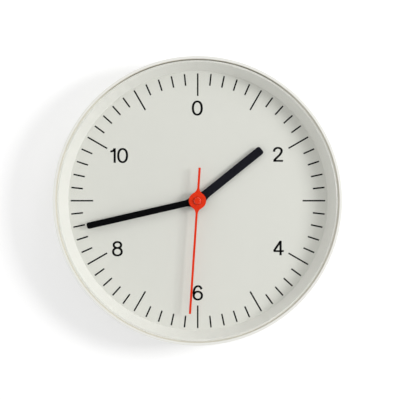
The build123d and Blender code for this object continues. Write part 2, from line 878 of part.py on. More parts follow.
# Minute drive wheel: loose on the minute pipe, held to it by the clutch spring alone
minute_phase = mate_phase(third_place, third_pinion_teeth, minute_module, centre, minute_wheel_teeth)
with BuildPart() as minute_drive_wheel:
    toothed(
        minute_wheel_teeth,
        minute_module,
        wheel_flank,
        centre,
        minute_phase,
        minute_wheel_back,
        minute_wheel_front,
        minute_pipe_radius + shaft_gap,
    )
save(minute_drive_wheel, "minute_drive_wheel")

# Minute pipe: tube with the cannon pinion, the clutch flange and a rolled lip behind the spring
with BuildPart() as minute_pipe:
    toothed(cannon_pinion_teeth, motion_module, pinion_flank, centre, 0.0, cannon_back, cannon_front)
    post([centre], minute_pipe_radius + clutch_flange_rim, clutch_flange_back, cannon_back)
    post([centre], minute_pipe_radius, minute_pipe_back, minute_hand_front)
    post([centre], minute_pipe_radius + pipe_lip_rim, minute_pipe_back, clutch_spring_back)
    post([centre], minute_bore, minute_pipe_back, minute_hand_front, Mode.SUBTRACT)
save(minute_pipe, "minute_pipe")

with BuildPart() as clutch_spring:
    tube(
        minute_pipe_radius + clutch_spring_rim,
        minute_pipe_radius + press_gap,
        clutch_spring_back,
        clutch_spring_front,
    )
save(clutch_spring, "clutch_spring")

# Motion wheel: meets the cannon pinion, turns the hour wheel and carries the setting arbor to the back
motion_phase = mate_phase(centre, cannon_pinion_teeth, motion_module, motion_place, motion_wheel_teeth)
knob_back = movement_back - knob_gap - knob_thickness
with BuildPart() as motion_wheel:
    toothed(
        motion_wheel_teeth,
        motion_module,
        wheel_flank,
        motion_place,
        motion_phase,
        motion_wheel_back,
        motion_wheel_front,
    )
    toothed(
        motion_pinion_teeth,
        hour_module,
        pinion_flank,
        motion_place,
        0.0,
        motion_wheel_front,
        hour_wheel_front + end_play / 2,
    )
    post([motion_place], setting_arbor_radius, knob_back, chamber_front + arbor_end)
save(motion_wheel, "motion_wheel")

# Setting knob: gripped disc on the end of the setting arbor
with BuildPart() as setting_knob:
    toothed(
        knob_grips,
        2 * knob_radius / (knob_grips + 2 * addendum),
        wheel_flank,
        motion_place,
        0.0,
        knob_back,
        knob_back + knob_thickness,
        setting_arbor_radius + press_gap,
    )
save(setting_knob, "setting_knob")

# Hour wheel: wheel and pipe in one moulding
hour_phase = mate_phase(motion_place, motion_pinion_teeth, hour_module, centre, hour_wheel_teeth)
with BuildPart() as hour_wheel:
    toothed(
        hour_wheel_teeth,
        hour_module,
        wheel_flank,
        centre,
        hour_phase,
        hour_wheel_back,
        hour_wheel_front,
        hour_bore,
    )
    tube(hour_pipe_radius, hour_bore, hour_wheel_back, hour_hand_front)
save(hour_wheel, "hour_wheel")


def blade(reach, root_width, tip_width, corner):
    """The outline of a hand's blade, from its axis to a tip with rounded corners."""
    with BuildSketch(mode=Mode.PRIVATE) as outline:
        with BuildLine():
            Polyline(
                (-root_width / 2, 0),
                (root_width / 2, 0),
                (tip_width / 2, reach),
                (-tip_width / 2, reach),
                close=True,
            )
        make_face()
        fillet(outline.vertices().group_by(Axis.Y)[-1], corner)
    return outline.sketch


def flare_corners(outline, hub):
    """The corners where straight blades leave a round hub."""
    return [corner for corner in outline.vertices() if abs(Vector(corner.X, corner.Y).length - hub) < 0.01]


# Hour hand: broad flat blade that flares into a round hub on the hour pipe
with BuildPart() as hour_hand:
    with BuildSketch(hand_plane(hour_hand_back, hour_angle)) as hour_outline:
        add(blade(sight_radius - hour_tip_gap, hour_root_width, hour_tip_width, hour_corner))
        Circle(hub_radius)
        fillet(flare_corners(hour_outline, hub_radius), hub_flare)
        Circle(hour_pipe_radius + press_gap, mode=Mode.SUBTRACT)
    extrude(amount=hand_thickness)
    hour_seat = hour_pipe_radius + press_gap
    tube(hour_seat + collet_wall, hour_seat, hour_collet_back, hour_hand_back)
save(hour_hand, "hour_hand")

# Minute hand: slimmer and longer, on the minute pipe
with BuildPart() as minute_hand:
    with BuildSketch(hand_plane(minute_hand_back, minute_angle)) as minute_outline:
        add(blade(sight_radius - minute_tip_gap, minute_root_width, minute_tip_width, minute_corner))
        Circle(hub_radius)
        fillet(flare_corners(minute_outline, hub_radius), hub_flare)
        Circle(minute_pipe_radius + press_gap, mode=Mode.SUBTRACT)
    extrude(amount=hand_thickness)
    minute_seat = minute_pipe_radius + press_gap
    tube(minute_seat + collet_wall, minute_seat, minute_collet_back, minute_hand_back)
save(minute_hand, "minute_hand")

# Second hand: needle with a tail, both flared into a round disc with a raised boss
with BuildPart() as second_hand:
    with BuildSketch(hand_plane(second_hand_back, second_angle)) as second_outline:
        second_reach = sight_radius - second_tip_gap
        with Locations((0, (second_reach - second_tail) / 2)):
            Rectangle(second_width, second_reach + second_tail)
        Circle(second_hub_radius)
        fillet(flare_corners(second_outline, second_hub_radius), second_flare)
    extrude(amount=hand_thickness)
    post([centre], second_boss_radius, second_hand_front, second_boss_front)
    second_seat = arbor_radius + press_gap
    post([centre], second_seat + collet_wall, second_collet_back, second_hand_back)
    fillet(second_hand.edges().group_by(Axis.Y)[0], second_boss_round)
    post([centre], second_seat, second_collet_back, second_hand_front + press_gap, Mode.SUBTRACT)
save(second_hand, "second_hand")
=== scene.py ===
# %% [markdown]
# # A wall clock, piece by piece
#
# The packed model comes in as a fixed frame: every node is already at its real place, in metres, with the
# wall at y = 0, the front towards -Y and +Z up. The lesson adds what a drawing of solids leaves out:
# rounded edges, print, finishes, light and a camera.

# %% Load the frame
import math

import bmesh
import bpy
from mathutils import Matrix, Vector


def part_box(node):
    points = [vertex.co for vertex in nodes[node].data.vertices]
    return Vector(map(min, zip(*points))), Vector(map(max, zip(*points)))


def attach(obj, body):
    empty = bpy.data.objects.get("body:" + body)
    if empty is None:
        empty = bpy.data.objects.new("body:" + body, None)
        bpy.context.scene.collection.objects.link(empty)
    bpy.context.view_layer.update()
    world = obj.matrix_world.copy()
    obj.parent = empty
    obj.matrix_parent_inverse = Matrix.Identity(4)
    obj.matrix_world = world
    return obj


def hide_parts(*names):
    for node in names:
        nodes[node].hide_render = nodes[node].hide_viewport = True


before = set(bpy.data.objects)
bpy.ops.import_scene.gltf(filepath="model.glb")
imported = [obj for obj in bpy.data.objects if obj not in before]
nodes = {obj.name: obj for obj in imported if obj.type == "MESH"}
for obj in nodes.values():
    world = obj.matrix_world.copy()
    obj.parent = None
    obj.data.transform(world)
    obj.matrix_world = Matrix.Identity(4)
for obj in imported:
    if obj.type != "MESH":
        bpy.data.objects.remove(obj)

MM = 0.001
scene = bpy.context.scene
scene.view_settings.view_transform = "Standard"
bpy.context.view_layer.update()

# %% [markdown]
# ## Node trees as plain expressions
#
# A finish, or a shape that repeats, is a tree of nodes. Wired one by one it becomes a web that is hard to
# read, so here it is written as sums. `Value` wraps one output socket, and its operators add Math nodes.
# `Graph.node` makes any other node: its settings first, because they decide which sockets it has, and then
# the numbers or links of its sockets.

# %% Values and graphs
class Value:
    """An output socket that can be used in arithmetic."""

    def __init__(self, graph, socket):
        self.graph = graph
        self.socket = socket

    def __add__(self, other):
        return self.graph.maths("ADD", self, other)

    def __radd__(self, other):
        return self.graph.maths("ADD", other, self)

    def __sub__(self, other):
        return self.graph.maths("SUBTRACT", self, other)

    def __rsub__(self, other):
        return self.graph.maths("SUBTRACT", other, self)

    def __mul__(self, other):
        return self.graph.maths("MULTIPLY", self, other)

    def __rmul__(self, other):
        return self.graph.maths("MULTIPLY", other, self)

    def __truediv__(self, other):
        return self.graph.maths("DIVIDE", self, other)

    def __rtruediv__(self, other):
        return self.graph.maths("DIVIDE", other, self)


class Graph:
    """A node tree with one way to add a node."""

    def __init__(self, tree):
        self.tree = tree
        tree.nodes.clear()

    def feed(self, socket, value):
        """Link a Value, link every Value of a list, or set a plain number, colour or vector."""
        if isinstance(value, list):
            for each in value:
                self.feed(socket, each)
        elif isinstance(value, Value):
            self.tree.links.new(value.socket, socket)
        else:
            socket.default_value = value

    def node(self, kind, settings, sockets, output=0):
        """Add a node and give one of its outputs, if it has any."""
        made = self.tree.nodes.new(kind)
        for key, setting in settings.items():
            setattr(made, key, setting)
        for key, value in sockets.items():
            self.feed(made.inputs[key], value)
        return Value(self, made.outputs[output]) if len(made.outputs) else None

    def maths(self, operation, first, second=0.0):
        return self.node("ShaderNodeMath", {"operation": operation}, {0: first, 1: second})

    def ramp(self, value, low, high, start, end):
        """Map a value from one range to another, and hold it at both ends."""
        sockets = {"Value": value, "From Min": low, "From Max": high, "To Min": start, "To Max": end}
        return self.node("ShaderNodeMapRange", {"clamp": True}, sockets)

    def tint(self, mask, first, second):
        """Mix two colours by a mask."""
        ends = [c if isinstance(c, Value) else (*c, 1) for c in (first, second)]
        return self.node("ShaderNodeMix", {"data_type": "RGBA"}, {0: mask, 6: ends[0], 7: ends[1]}, 2)


print("a tree is written with", Value.__name__, "and", Graph.__name__)

# %% [markdown]
# ## Finishes
#
# Every piece of the clock is moulded, painted, stamped or turned. Pictures could be wrapped round the
# pieces, but a procedural finish needs no picture and no unwrapping, and it stays sharp from close by.
# `Finish` reads Object coordinates, so that a pattern keeps its real size on the piece.

# %% The finish class
class Finish(Graph):
    """A material whose patterns have real sizes."""

    def __init__(self, name):
        self.material = bpy.data.materials.new(name)
        self.material.use_nodes = True
        super().__init__(self.material.node_tree)
        self.place = self.node("ShaderNodeTexCoord", {}, {}, "Object")

    def surface(self, sockets):
        return self.node("ShaderNodeBsdfPrincipled", {}, sockets)

    def shown(self, surface):
        """Make a surface the one that the material shows."""
        self.node("ShaderNodeOutputMaterial", {}, {"Surface": surface})
        return self.material

    def noise(self, vector, scale, detail, roughness):
        sockets = {"Vector": vector, "Scale": scale, "Detail": detail, "Roughness": roughness}
        return self.node("ShaderNodeTexNoise", {"noise_dimensions": "3D"}, sockets)

    def cloud(self, size, detail=2.0):
        """Noise about as coarse as the given size."""
        return self.noise(self.place, 1.0 / size, detail, 0.55)

    def streaks(self, scale, detail):
        """Noise that is drawn out along the axes of small scale."""
        sockets = {"Vector": self.place, "Scale": scale}
        stretched = self.node("ShaderNodeMapping", {"vector_type": "POINT"}, sockets)
        return self.noise(stretched, 1.0, detail, 0.5)

    def lift(self, height, distance):
        """A normal that follows a height, raised by the given distance."""
        sockets = {"Height": height, "Distance": distance, "Strength": 1.0}
        return self.node("ShaderNodeBump", {}, sockets, "Normal")

    def off_axis(self):
        """The distance from the hands' axis, which is the Y axis here."""
        level = self.node("ShaderNodeVectorMath", {"operation": "MULTIPLY"}, {0: self.place, 1: (1, 0, 1)})
        return self.node("ShaderNodeVectorMath", {"operation": "LENGTH"}, {0: level}, "Value")


print("a finish can use", [name for name in vars(Finish) if not name.startswith("_")])

# %% [markdown]
# Moulded plastic and paint are never one flat colour. A slow cloud shifts the colour and the gloss a
# little, as a real batch does, and a fine grain lifts the surface by up to a few hundredths of a
# millimetre. Drawn or turned metal has fine marks along one direction, so its noise is stretched, while
# plating has an even mottle. One function for each kind keeps the finishes alike, and only the sizes and
# colours differ.

# %% Two kinds of finish
SLOW_CLOUD, GLOSS_CLOUD, GLOSS_SPREAD, GRAIN_DETAIL = 18 * MM, 6 * MM, 0.10, 3.0
MARK_SHADE, MARK_SPREAD, MARK_DEPTH = 0.82, 0.25, 0.01 * MM


def shaded(colour, share):
    return tuple(channel * share for channel in colour)


def about(middle, spread, noise):
    """A number that wanders round its middle."""
    return middle + spread * (noise - 0.5)


def moulded(name, colour, rough, grain, depth, shift, shine=0.4):
    """Moulded plastic or paint, with the grain's size and depth in millimetres."""
    finish = Finish(name)
    pale, deep = shaded(colour, 1 + shift), shaded(colour, 1 - shift)
    return finish.shown(finish.surface({
        "Base Color": finish.tint(finish.cloud(SLOW_CLOUD), deep, pale),
        "Roughness": about(rough, GLOSS_SPREAD, finish.cloud(GLOSS_CLOUD)),
        "Specular IOR Level": shine,
        "Normal": finish.lift(finish.cloud(grain * MM, GRAIN_DETAIL), depth * MM),
    }))


def metal(name, colour, rough, scale):
    """Bare metal, with its marks along the axes of small scale."""
    finish = Finish(name)
    marks = finish.streaks(scale, GRAIN_DETAIL)
    return finish.shown(finish.surface({
        "Base Color": finish.tint(marks, shaded(colour, MARK_SHADE), colour),
        "Metallic": 1.0,
        "Roughness": about(rough, MARK_SPREAD, marks),
        "Normal": finish.lift(marks, MARK_DEPTH),
    }))


dial_white = moulded("dial_white", (0.754, 0.754, 0.702), rough=0.55, grain=0.25, depth=0.005, shift=0.010)
case_white = moulded("case_white", (0.842, 0.838, 0.794), rough=0.38, grain=0.35, depth=0.006, shift=0.008)
gear_plastic = moulded("gear_plastic", (0.75, 0.74, 0.68), rough=0.40, grain=0.5, depth=0.008, shift=0.02)
print("pale finishes", [m.name for m in (dial_white, case_white, gear_plastic)])

# %% Dark plastics, paints and metals
movement_black = moulded(
    "movement_black", (0.020, 0.020, 0.022), rough=0.55, grain=0.45, depth=0.03, shift=0.12,
)
knob_black = moulded("knob_black", (0.026, 0.026, 0.028), rough=0.42, grain=0.5, depth=0.01, shift=0.10)
chip_black = moulded("chip_black", (0.012, 0.012, 0.012), rough=0.25, grain=0.8, depth=0.01, shift=0.10)
rubber = moulded("gasket_rubber", (0.030, 0.030, 0.030), rough=0.75, grain=0.4, depth=0.03, shift=0.15)
board_brown = moulded("board_laminate", (0.20, 0.12, 0.05), rough=0.50, grain=0.6, depth=0.01, shift=0.08)
magnet_dark = moulded("magnet_dark", (0.10, 0.10, 0.11), rough=0.45, grain=0.3, depth=0.02, shift=0.15)
ink = moulded(
    "dial_ink", (0.0025, 0.0025, 0.0030), rough=0.6, grain=0.3, depth=0.004, shift=0.15, shine=0.15,
)
# The two hands wear the same black. The hour hand's is lighter: painted sheen, for the light its face
# reflects.
hour_paint = moulded(
    "hour_paint", (0.0095, 0.0095, 0.0150), rough=0.36, grain=0.2, depth=0.004, shift=0.06, shine=0.2,
)
minute_paint = moulded(
    "minute_paint", (0.0012, 0.0012, 0.0020), rough=0.36, grain=0.2, depth=0.004, shift=0.06, shine=0.2,
)
steel = metal("steel", (0.58, 0.58, 0.59), rough=0.32, scale=(300, 300, 4000))
zinc = metal("zinc_plate", (0.60, 0.60, 0.61), rough=0.30, scale=(2500, 2500, 2500))
nickel = metal("nickel_plate", (0.66, 0.64, 0.60), rough=0.24, scale=(900, 900, 900))
brass = metal("brass", (0.66, 0.49, 0.19), rough=0.28, scale=(300, 5000, 300))
print("metals", [m.name for m in (steel, zinc, nickel, brass)])

# %% [markdown]
# The second hand is sprayed red after its boss is pressed in. Round the foot of the boss the red is painted
# darker: painted shade, where the boss shades the disc beside it. It is a ring mask on the distance from the
# hands' axis, not a groove.

# %% Red paint
# The painted shade at the foot of the boss: its radius, half width, core and share, and its darkest red.
BOSS_FOOT, FOOT_SHADE_HALF, FOOT_SHADE_CORE, FOOT_SHADE_SHARE = 3.55 * MM, 0.42 * MM, 0.15, 0.6
RED_DEEP, RED_PALE, PAINTED_FOOT_SHADE_RED = (0.815, 0.031, 0.002), (0.865, 0.034, 0.002), (0.25, 0.006, 0.001)


def sprayed_red():
    finish = Finish("red_paint")
    off_foot = finish.maths("ABSOLUTE", finish.off_axis() - BOSS_FOOT)
    foot_shade = finish.ramp(off_foot, FOOT_SHADE_CORE * FOOT_SHADE_HALF, FOOT_SHADE_HALF, 1.0, 0.0)
    paint = finish.tint(finish.cloud(SLOW_CLOUD), RED_DEEP, RED_PALE)
    return finish.shown(finish.surface({
        # Painted shade: a darker ring round the foot of the boss.
        "Base Color": finish.tint(FOOT_SHADE_SHARE * foot_shade, paint, PAINTED_FOOT_SHADE_RED),
        "Roughness": about(0.17, 0.06, finish.cloud(GLOSS_CLOUD)),
        "Specular IOR Level": 0.9,
        "Normal": finish.lift(finish.cloud(0.2 * MM, GRAIN_DETAIL), 0.002 * MM),
    }))


red_paint = sprayed_red()
print("seam width in mm", round(2 * FOOT_SHADE_HALF / MM, 2))

# %% [markdown]
# The lens lies loose in a rebate, the step inside the rim. The rebate's wall is a warm grey, darker than the
# case: painted shade, for the groove between the lens and the lip. Towards the top of the ring the foot of
# the wall is painted darker still, the higher the darker: painted shade, for a gap that looks shaded there.
# Two ramps make the mask, one on the height and one on the distance from the axis.

# %% Rebate skin with painted shade
# The painted shade at the top of the rebate: the heights where it starts and is full, its share, its radii
# and its colour.
SHADE_START_HEIGHT, SHADE_FULL_HEIGHT, GAP_SHADE = 91.0 * MM, 116.0 * MM, 0.92
GAP_EDGE, GAP_END = 129.2 * MM, 129.8 * MM
# The skin's two greys are darker than the case: painted shade of the groove.
SKIN_DEEP, SKIN_PALE, PAINTED_GAP_SHADE_COLOUR = (0.64, 0.616, 0.529), (0.68, 0.654, 0.561), (0.05, 0.045, 0.02)


def rebate():
    finish = Finish("rebate_skin")
    height = finish.node("ShaderNodeSeparateXYZ", {}, {0: finish.place}, "Z")
    shade_by_height = finish.ramp(height, SHADE_START_HEIGHT, SHADE_FULL_HEIGHT, 0.0, GAP_SHADE)
    shade_at_foot = finish.ramp(finish.off_axis(), GAP_EDGE, GAP_END, 1.0, 0.0)
    skin = finish.tint(finish.cloud(SLOW_CLOUD), SKIN_DEEP, SKIN_PALE)
    return finish.shown(finish.surface({
        # Painted shade: the wall's colour is darkened by the two ramps.
        "Base Color": finish.tint(shade_by_height * shade_at_foot, skin, PAINTED_GAP_SHADE_COLOUR),
        "Roughness": about(0.60, GLOSS_SPREAD, finish.cloud(GLOSS_CLOUD)),
        "Specular IOR Level": 0.4,
        "Normal": finish.lift(finish.cloud(0.5 * MM, GRAIN_DETAIL), 0.02 * MM),
    }))


rebate_skin = rebate()
# The height printed is where the painted shade begins.
print("joint opens from", round(SHADE_START_HEIGHT / MM, 1), "mm above the axis")

# %% [markdown]
# The winding is fine enamelled wire. Hundreds of real turns would cost many faces inside a closed box, so a
# wave along the coil's long axis, which lies along X, raises the turns. It also paints the gaps between them
# darker: painted shade, where the turns shade each other.
# The cell's sleeve is a plain dark film with a faint lengthways sheen.

# %% Wire and cell finishes
WIRE_PITCH, WIRE_HEIGHT = 0.16 * MM, 0.05 * MM
WAVE_LENGTH = math.tau / 20  # one band of a Wave texture at a scale of 1


def wire_turns():
    finish = Finish("winding_enamel")
    settings = {"wave_type": "BANDS", "bands_direction": "X", "wave_profile": "SIN"}
    sockets = {"Vector": finish.place, "Scale": WAVE_LENGTH / WIRE_PITCH, "Distortion": 0.0}
    turns = finish.node("ShaderNodeTexWave", settings, sockets)
    return finish.shown(finish.surface({
        # Painted shade: the colour is darker in the gaps between the turns.
        "Base Color": finish.tint(turns, (0.16, 0.045, 0.012), (0.50, 0.17, 0.05)),
        "Roughness": 0.42 - 0.12 * turns,
        "Metallic": 0.6,
        "Normal": finish.lift(turns, WIRE_HEIGHT),
    }))


def sleeve():
    finish = Finish("cell_wrapper")
    film = finish.streaks((40, 700, 700), 2.0)
    return finish.shown(finish.surface({
        "Base Color": finish.tint(film, (0.045, 0.052, 0.060), (0.075, 0.084, 0.095)),
        "Roughness": 0.30 + 0.12 * film,
        "Coat Weight": 0.4 - 0.2 * film,
        "Normal": finish.lift(film, 0.01 * MM),
    }))


winding = wire_turns()
cell_film = sleeve()
print("wire pitch in mm", WIRE_PITCH / MM)

# %% [markdown]
# The lens is clear, so most light goes straight through it. A glass surface would bend that light and
# darken the dial with noise. A Transparent surface keeps the dial and its shadows bright, and a little
# polished reflection is mixed in, more towards grazing angles and only on the outer side of each face. The
# rounding of the front edge has a satin polish that catches the lamp, and the rest of the edge is ground.

# %% Lens finishes
LENS_INDEX, EDGE_SHINE = 1.34, 0.085


def seen_through(finish, share, sheen, clearness):
    """Mix a share of a shiny surface with a clear one."""
    clear = finish.node("ShaderNodeBsdfTransparent", {}, {"Color": clearness})
    shiny = finish.surface(sheen)
    return finish.shown(finish.node("ShaderNodeMixShader", {}, {0: share, 1: clear, 2: shiny}))


def clear_lens():
    finish = Finish("lens_clear")
    inner_side = finish.node("ShaderNodeNewGeometry", {}, {}, "Backfacing")
    share = finish.node("ShaderNodeFresnel", {}, {"IOR": LENS_INDEX}) * (1 - inner_side)
    sheen = {
        "Base Color": (0.96, 0.98, 0.97, 1),
        "Roughness": 0.03 + 0.02 * finish.cloud(30 * MM),
        "Metallic": 1.0,
    }
    return seen_through(finish, share, sheen, (0.996, 0.998, 0.996, 1))


def polished_edge():
    finish = Finish("lens_polished_edge")
    sheen = {
        "Base Color": (0.96, 0.97, 0.96, 1),
        "Roughness": about(0.35, 0.06, finish.cloud(4 * MM)),
        "Metallic": 1.0,
    }
    return seen_through(finish, EDGE_SHINE, sheen, (0.99, 0.99, 0.98, 1))


def ground_edge():
    finish = Finish("lens_ground_edge")
    frost = finish.cloud(0.4 * MM, GRAIN_DETAIL)
    return finish.shown(finish.surface({
        "Base Color": finish.tint(frost, (0.60, 0.57, 0.50), (0.72, 0.69, 0.62)),
        "Roughness": about(0.55, 0.2, frost),
        "Alpha": about(0.16, 0.1, frost),
        "Normal": finish.lift(frost, 0.02 * MM),
    }))


lens_clear = clear_lens()
lens_edge = ground_edge()
lens_rounding = polished_edge()
print("lens index", LENS_INDEX, "edge shine", EDGE_SHINE)

# %% [markdown]
# ## Meshes that become pieces
#
# A finished piece sits at the origin with its place in its mesh and rides a body of the frame. Smooth
# shading alone would bend the light on a flat face beside a small bevel. Weighted normals let the big face
# outweigh the small one, so the flats stay flat.
# The modifier that does it is turned into plain mesh data before the piece is handed over.

# %% From a mesh to a piece
SHARP_ANGLE, FLAT_WEIGHT = math.radians(32), 100


def plain_mesh(carrier, name):
    """The mesh that an object's modifiers give, as plain data. The carrier is removed."""
    scene.collection.objects.link(carrier)
    graph = bpy.context.evaluated_depsgraph_get()
    made = bpy.data.meshes.new_from_object(carrier.evaluated_get(graph))
    made.name = name
    carrier.modifiers.clear()
    bpy.data.objects.remove(carrier)
    return made


def smoothed(mesh, materials):
    """Smooth shading that keeps broad flats flat."""
    mesh.materials.clear()
    for material in materials:
        mesh.materials.append(material)
    mesh.shade_smooth()
    mesh.set_sharp_from_angle(angle=SHARP_ANGLE)
    carrier = bpy.data.objects.new(mesh.name + "_carrier", mesh)
    weighted = carrier.modifiers.new("flats", "WEIGHTED_NORMAL")
    weighted.keep_sharp = True
    weighted.weight = FLAT_WEIGHT
    return plain_mesh(carrier, mesh.name + "_smooth")


def piece(mesh, name, body, materials, replaced=()):
    made = bpy.data.objects.new(name, smoothed(mesh, materials))
    scene.collection.objects.link(made)
    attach(made, body)
    if replaced:
        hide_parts(*replaced)
    print(name, "faces", len(made.data.polygons), "on", body)
    return made


print("faces that meet at more than", round(math.degrees(SHARP_ANGLE)), "degrees keep a crisp edge")

# %% [markdown]
# ## The front ring
#
# The white ring is one moulding: a slim lip, a rebate for the lens, a sloping inner wall that drops to the
# dial and a slightly drafted outer wall. A bevel on a copy of the node would round every edge alike.
# Turning a profile round the hands' axis lets each corner have a rounding of its own, and gives the soft
# line of light along the lip.

# %% Turn a profile
POLE_MERGE = 0.0001 * MM


def to_mesh(work, name):
    bmesh.ops.recalc_face_normals(work, faces=work.faces)
    mesh = bpy.data.meshes.new(name)
    work.to_mesh(mesh)
    work.free()
    return mesh


def rounded(corners, steps=6):
    """A closed profile from (radius, depth, rounding) corners, each rounding an arc."""
    path = []
    count = len(corners)
    for index, (x, y, ease) in enumerate(corners):
        here = Vector((x, y))
        if not ease:
            path.append(here)
            continue
        before = (Vector(corners[index - 1][:2]) - here).normalized()
        after = (Vector(corners[(index + 1) % count][:2]) - here).normalized()
        half = before.angle(after) / 2
        middle = here + (before + after).normalized() * ease / math.sin(half)
        start = here + before * ease / math.tan(half) - middle
        sweep = -start.angle_signed(here + after * ease / math.tan(half) - middle)
        for step in range(steps + 1):
            path.append(middle + Matrix.Rotation(sweep * step / steps, 2) @ start)
    return path


def lathe(name, profile, turns, centre=Matrix.Identity(4)):
    """Turn a closed (radius, depth) profile in millimetres round the Y axis, front towards -Y."""
    work = bmesh.new()
    rings = []
    for turn in range(turns):
        angle = math.tau * turn / turns
        ring = [
            work.verts.new((p[0] * MM * math.sin(angle), -p[1] * MM, p[0] * MM * math.cos(angle)))
            for p in profile
        ]
        rings.append(ring)
    for turn in range(turns):
        here, there = rings[turn], rings[(turn + 1) % turns]
        for index in range(len(profile)):
            after = (index + 1) % len(profile)
            work.faces.new((here[index], here[after], there[after], there[index]))
    bmesh.ops.remove_doubles(work, verts=work.verts, dist=POLE_MERGE)
    bmesh.ops.transform(work, matrix=centre, verts=work.verts)
    return to_mesh(work, name)


print("points in a rounded square", len(rounded([(0, 0, 1), (9, 0, 1), (9, 9, 1), (0, 9, 1)])))

# %% Turn the front ring
RIM, RIM_FRONT, PARTING, PARTING_RADIUS = 132.5, 40.0, 5.0, 130.7
SIGHT, DIAL_FRONT, LEDGE, LEDGE_INNER = 120.0, 20.0, 37.64, 127.2
REBATE, LIP = 128.9, 130.1
INSIDE, SHOULDER = 128.5, 35.98
SEAT_BACK, SEAT_INNER, SEAT_OUTER = 17.0, 123.0, 124.8
LEDGE_EASE, LIP_EASE, RIM_EASE, PARTING_EASE = 0.2, 0.15, 0.35, 0.25
RING_STEPS = 288
ring_profile = rounded([
    (SIGHT, DIAL_FRONT, 0.0),
    (LEDGE_INNER, LEDGE, LEDGE_EASE),
    (REBATE, LEDGE, 0.0),
    (LIP, RIM_FRONT, LIP_EASE),
    (RIM, RIM_FRONT, RIM_EASE),
    (PARTING_RADIUS, PARTING, PARTING_EASE),
    (INSIDE, PARTING, 0.0),
    (INSIDE, SHOULDER, 0.0),
    (SEAT_OUTER, SEAT_BACK, 0.0),
    (SEAT_INNER, SEAT_BACK, 0.0),
    (SEAT_INNER, DIAL_FRONT, 0.0),
])
ring = piece(
    lathe("front_ring_turned", ring_profile, RING_STEPS), "ring_moulding", "case",
    [case_white, rebate_skin], ["front_ring"],
)
for face in ring.data.polygons:
    radius = math.hypot(face.center.x, face.center.z) / MM
    face.material_index = int(REBATE < radius < LIP and -face.center.y > LEDGE * MM)
print("rebate faces", sum(face.material_index for face in ring.data.polygons))

# %% [markdown]
# ## The lens and the dial
#
# Both are flat discs whose outlines are right in the frame, so each is a copy of its node. A node's mesh is
# loose triangles: they are merged, flat areas become single faces again, and the sharp edges that are left
# get a small bevel. A Bevel modifier could do it with a weight on each edge, but in code the edges are
# picked by where they lie. The front edge of the lens has a wide polished rounding, which stops short of
# the little lifting notch at the bottom.

# %% Break the edges of a node's copy
MERGE, FLAT_ANGLE, BREAK_ANGLE = 0.001 * MM, math.radians(0.2), math.radians(40)
BREAK_STEPS, WIDE_STEPS = 2, 8


def broken(work, edges, size, segments, clamp=True):
    """Bevel the given edges."""
    bmesh.ops.bevel(
        work, geom=edges, offset=size, offset_type="OFFSET", segments=segments, profile=0.5,
        affect="EDGES", clamp_overlap=clamp,
    )


def eased(node, bevel, wide=None):
    """A merged copy of a node's mesh with its sharp edges bevelled, some of them first and wider."""
    work = bmesh.new()
    work.from_mesh(nodes[node].data)
    bmesh.ops.remove_doubles(work, verts=work.verts, dist=MERGE)
    bmesh.ops.dissolve_limit(work, angle_limit=FLAT_ANGLE, verts=work.verts, edges=work.edges)
    if wide:
        chosen, size = wide
        broken(work, [e for e in work.edges if chosen(e)], size, WIDE_STEPS, clamp=False)
    sharp = [e for e in work.edges if len(e.link_faces) == 2 and e.calc_face_angle() > BREAK_ANGLE]
    broken(work, sharp, bevel, BREAK_STEPS)
    bmesh.ops.triangulate(work, faces=[f for f in work.faces if len(f.verts) > 4])
    mesh = bpy.data.meshes.new(node + "_eased")
    work.to_mesh(mesh)
    work.free()
    if "custom_normal" in mesh.attributes:
        mesh.attributes.remove(mesh.attributes["custom_normal"])
    return mesh


print("edges over", round(math.degrees(BREAK_ANGLE)), "degrees are broken")

# %% Lens and dial
LENS_BREAK, LENS_ROUNDING, NOTCH_CLEAR, DIAL_BREAK = 0.12 * MM, 1.5 * MM, 9.0 * MM, 0.1 * MM
NEAR_FRONT, NEAR_RIM = 0.01 * MM, 0.05 * MM
FLAT_FACING, ROUND_FACING = 0.998, 0.15
lens_low, lens_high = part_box("lens")


def lens_rim(edge):
    """True for the edges of the lens's front outline, where a finger would meet it."""
    return all(
        v.co.y < lens_low.y + NEAR_FRONT and math.hypot(v.co.x, v.co.z) > lens_high.x - NEAR_RIM
        and (v.co.z > 0 or abs(v.co.x) > NOTCH_CLEAR)
        for v in edge.verts
    )


lens = piece(
    eased("lens", LENS_BREAK, wide=(lens_rim, LENS_ROUNDING)), "lens_disc", "case",
    [lens_clear, lens_edge, lens_rounding], ["lens"],
)
for face in lens.data.polygons:
    flat = abs(face.normal.y) > FLAT_FACING
    rounding = face.center.y < lens_low.y + LENS_ROUNDING and face.normal.y < -ROUND_FACING
    face.material_index = 0 if flat else 2 if rounding else 1
print("lens faces by finish", [sum(f.material_index == k for f in lens.data.polygons) for k in range(3)])
piece(eased("dial", DIAL_BREAK), "dial_plate", "case", [dial_white], ["dial"])

# %% [markdown]
# ## The printed strokes
#
# Sixty strokes point at the centre, and every fifth is longer. They could be a pattern in the dial's
# material, but thick ink stands a little proud and has crisp ends, so they are thin blocks. What repeats
# round a circle is a job for Geometry Nodes: points on the circle, one block on each, turned by its own
# angle and stretched to its length. The tree is a `Graph` with named inputs, so its sums read like the
# finishes' sums.

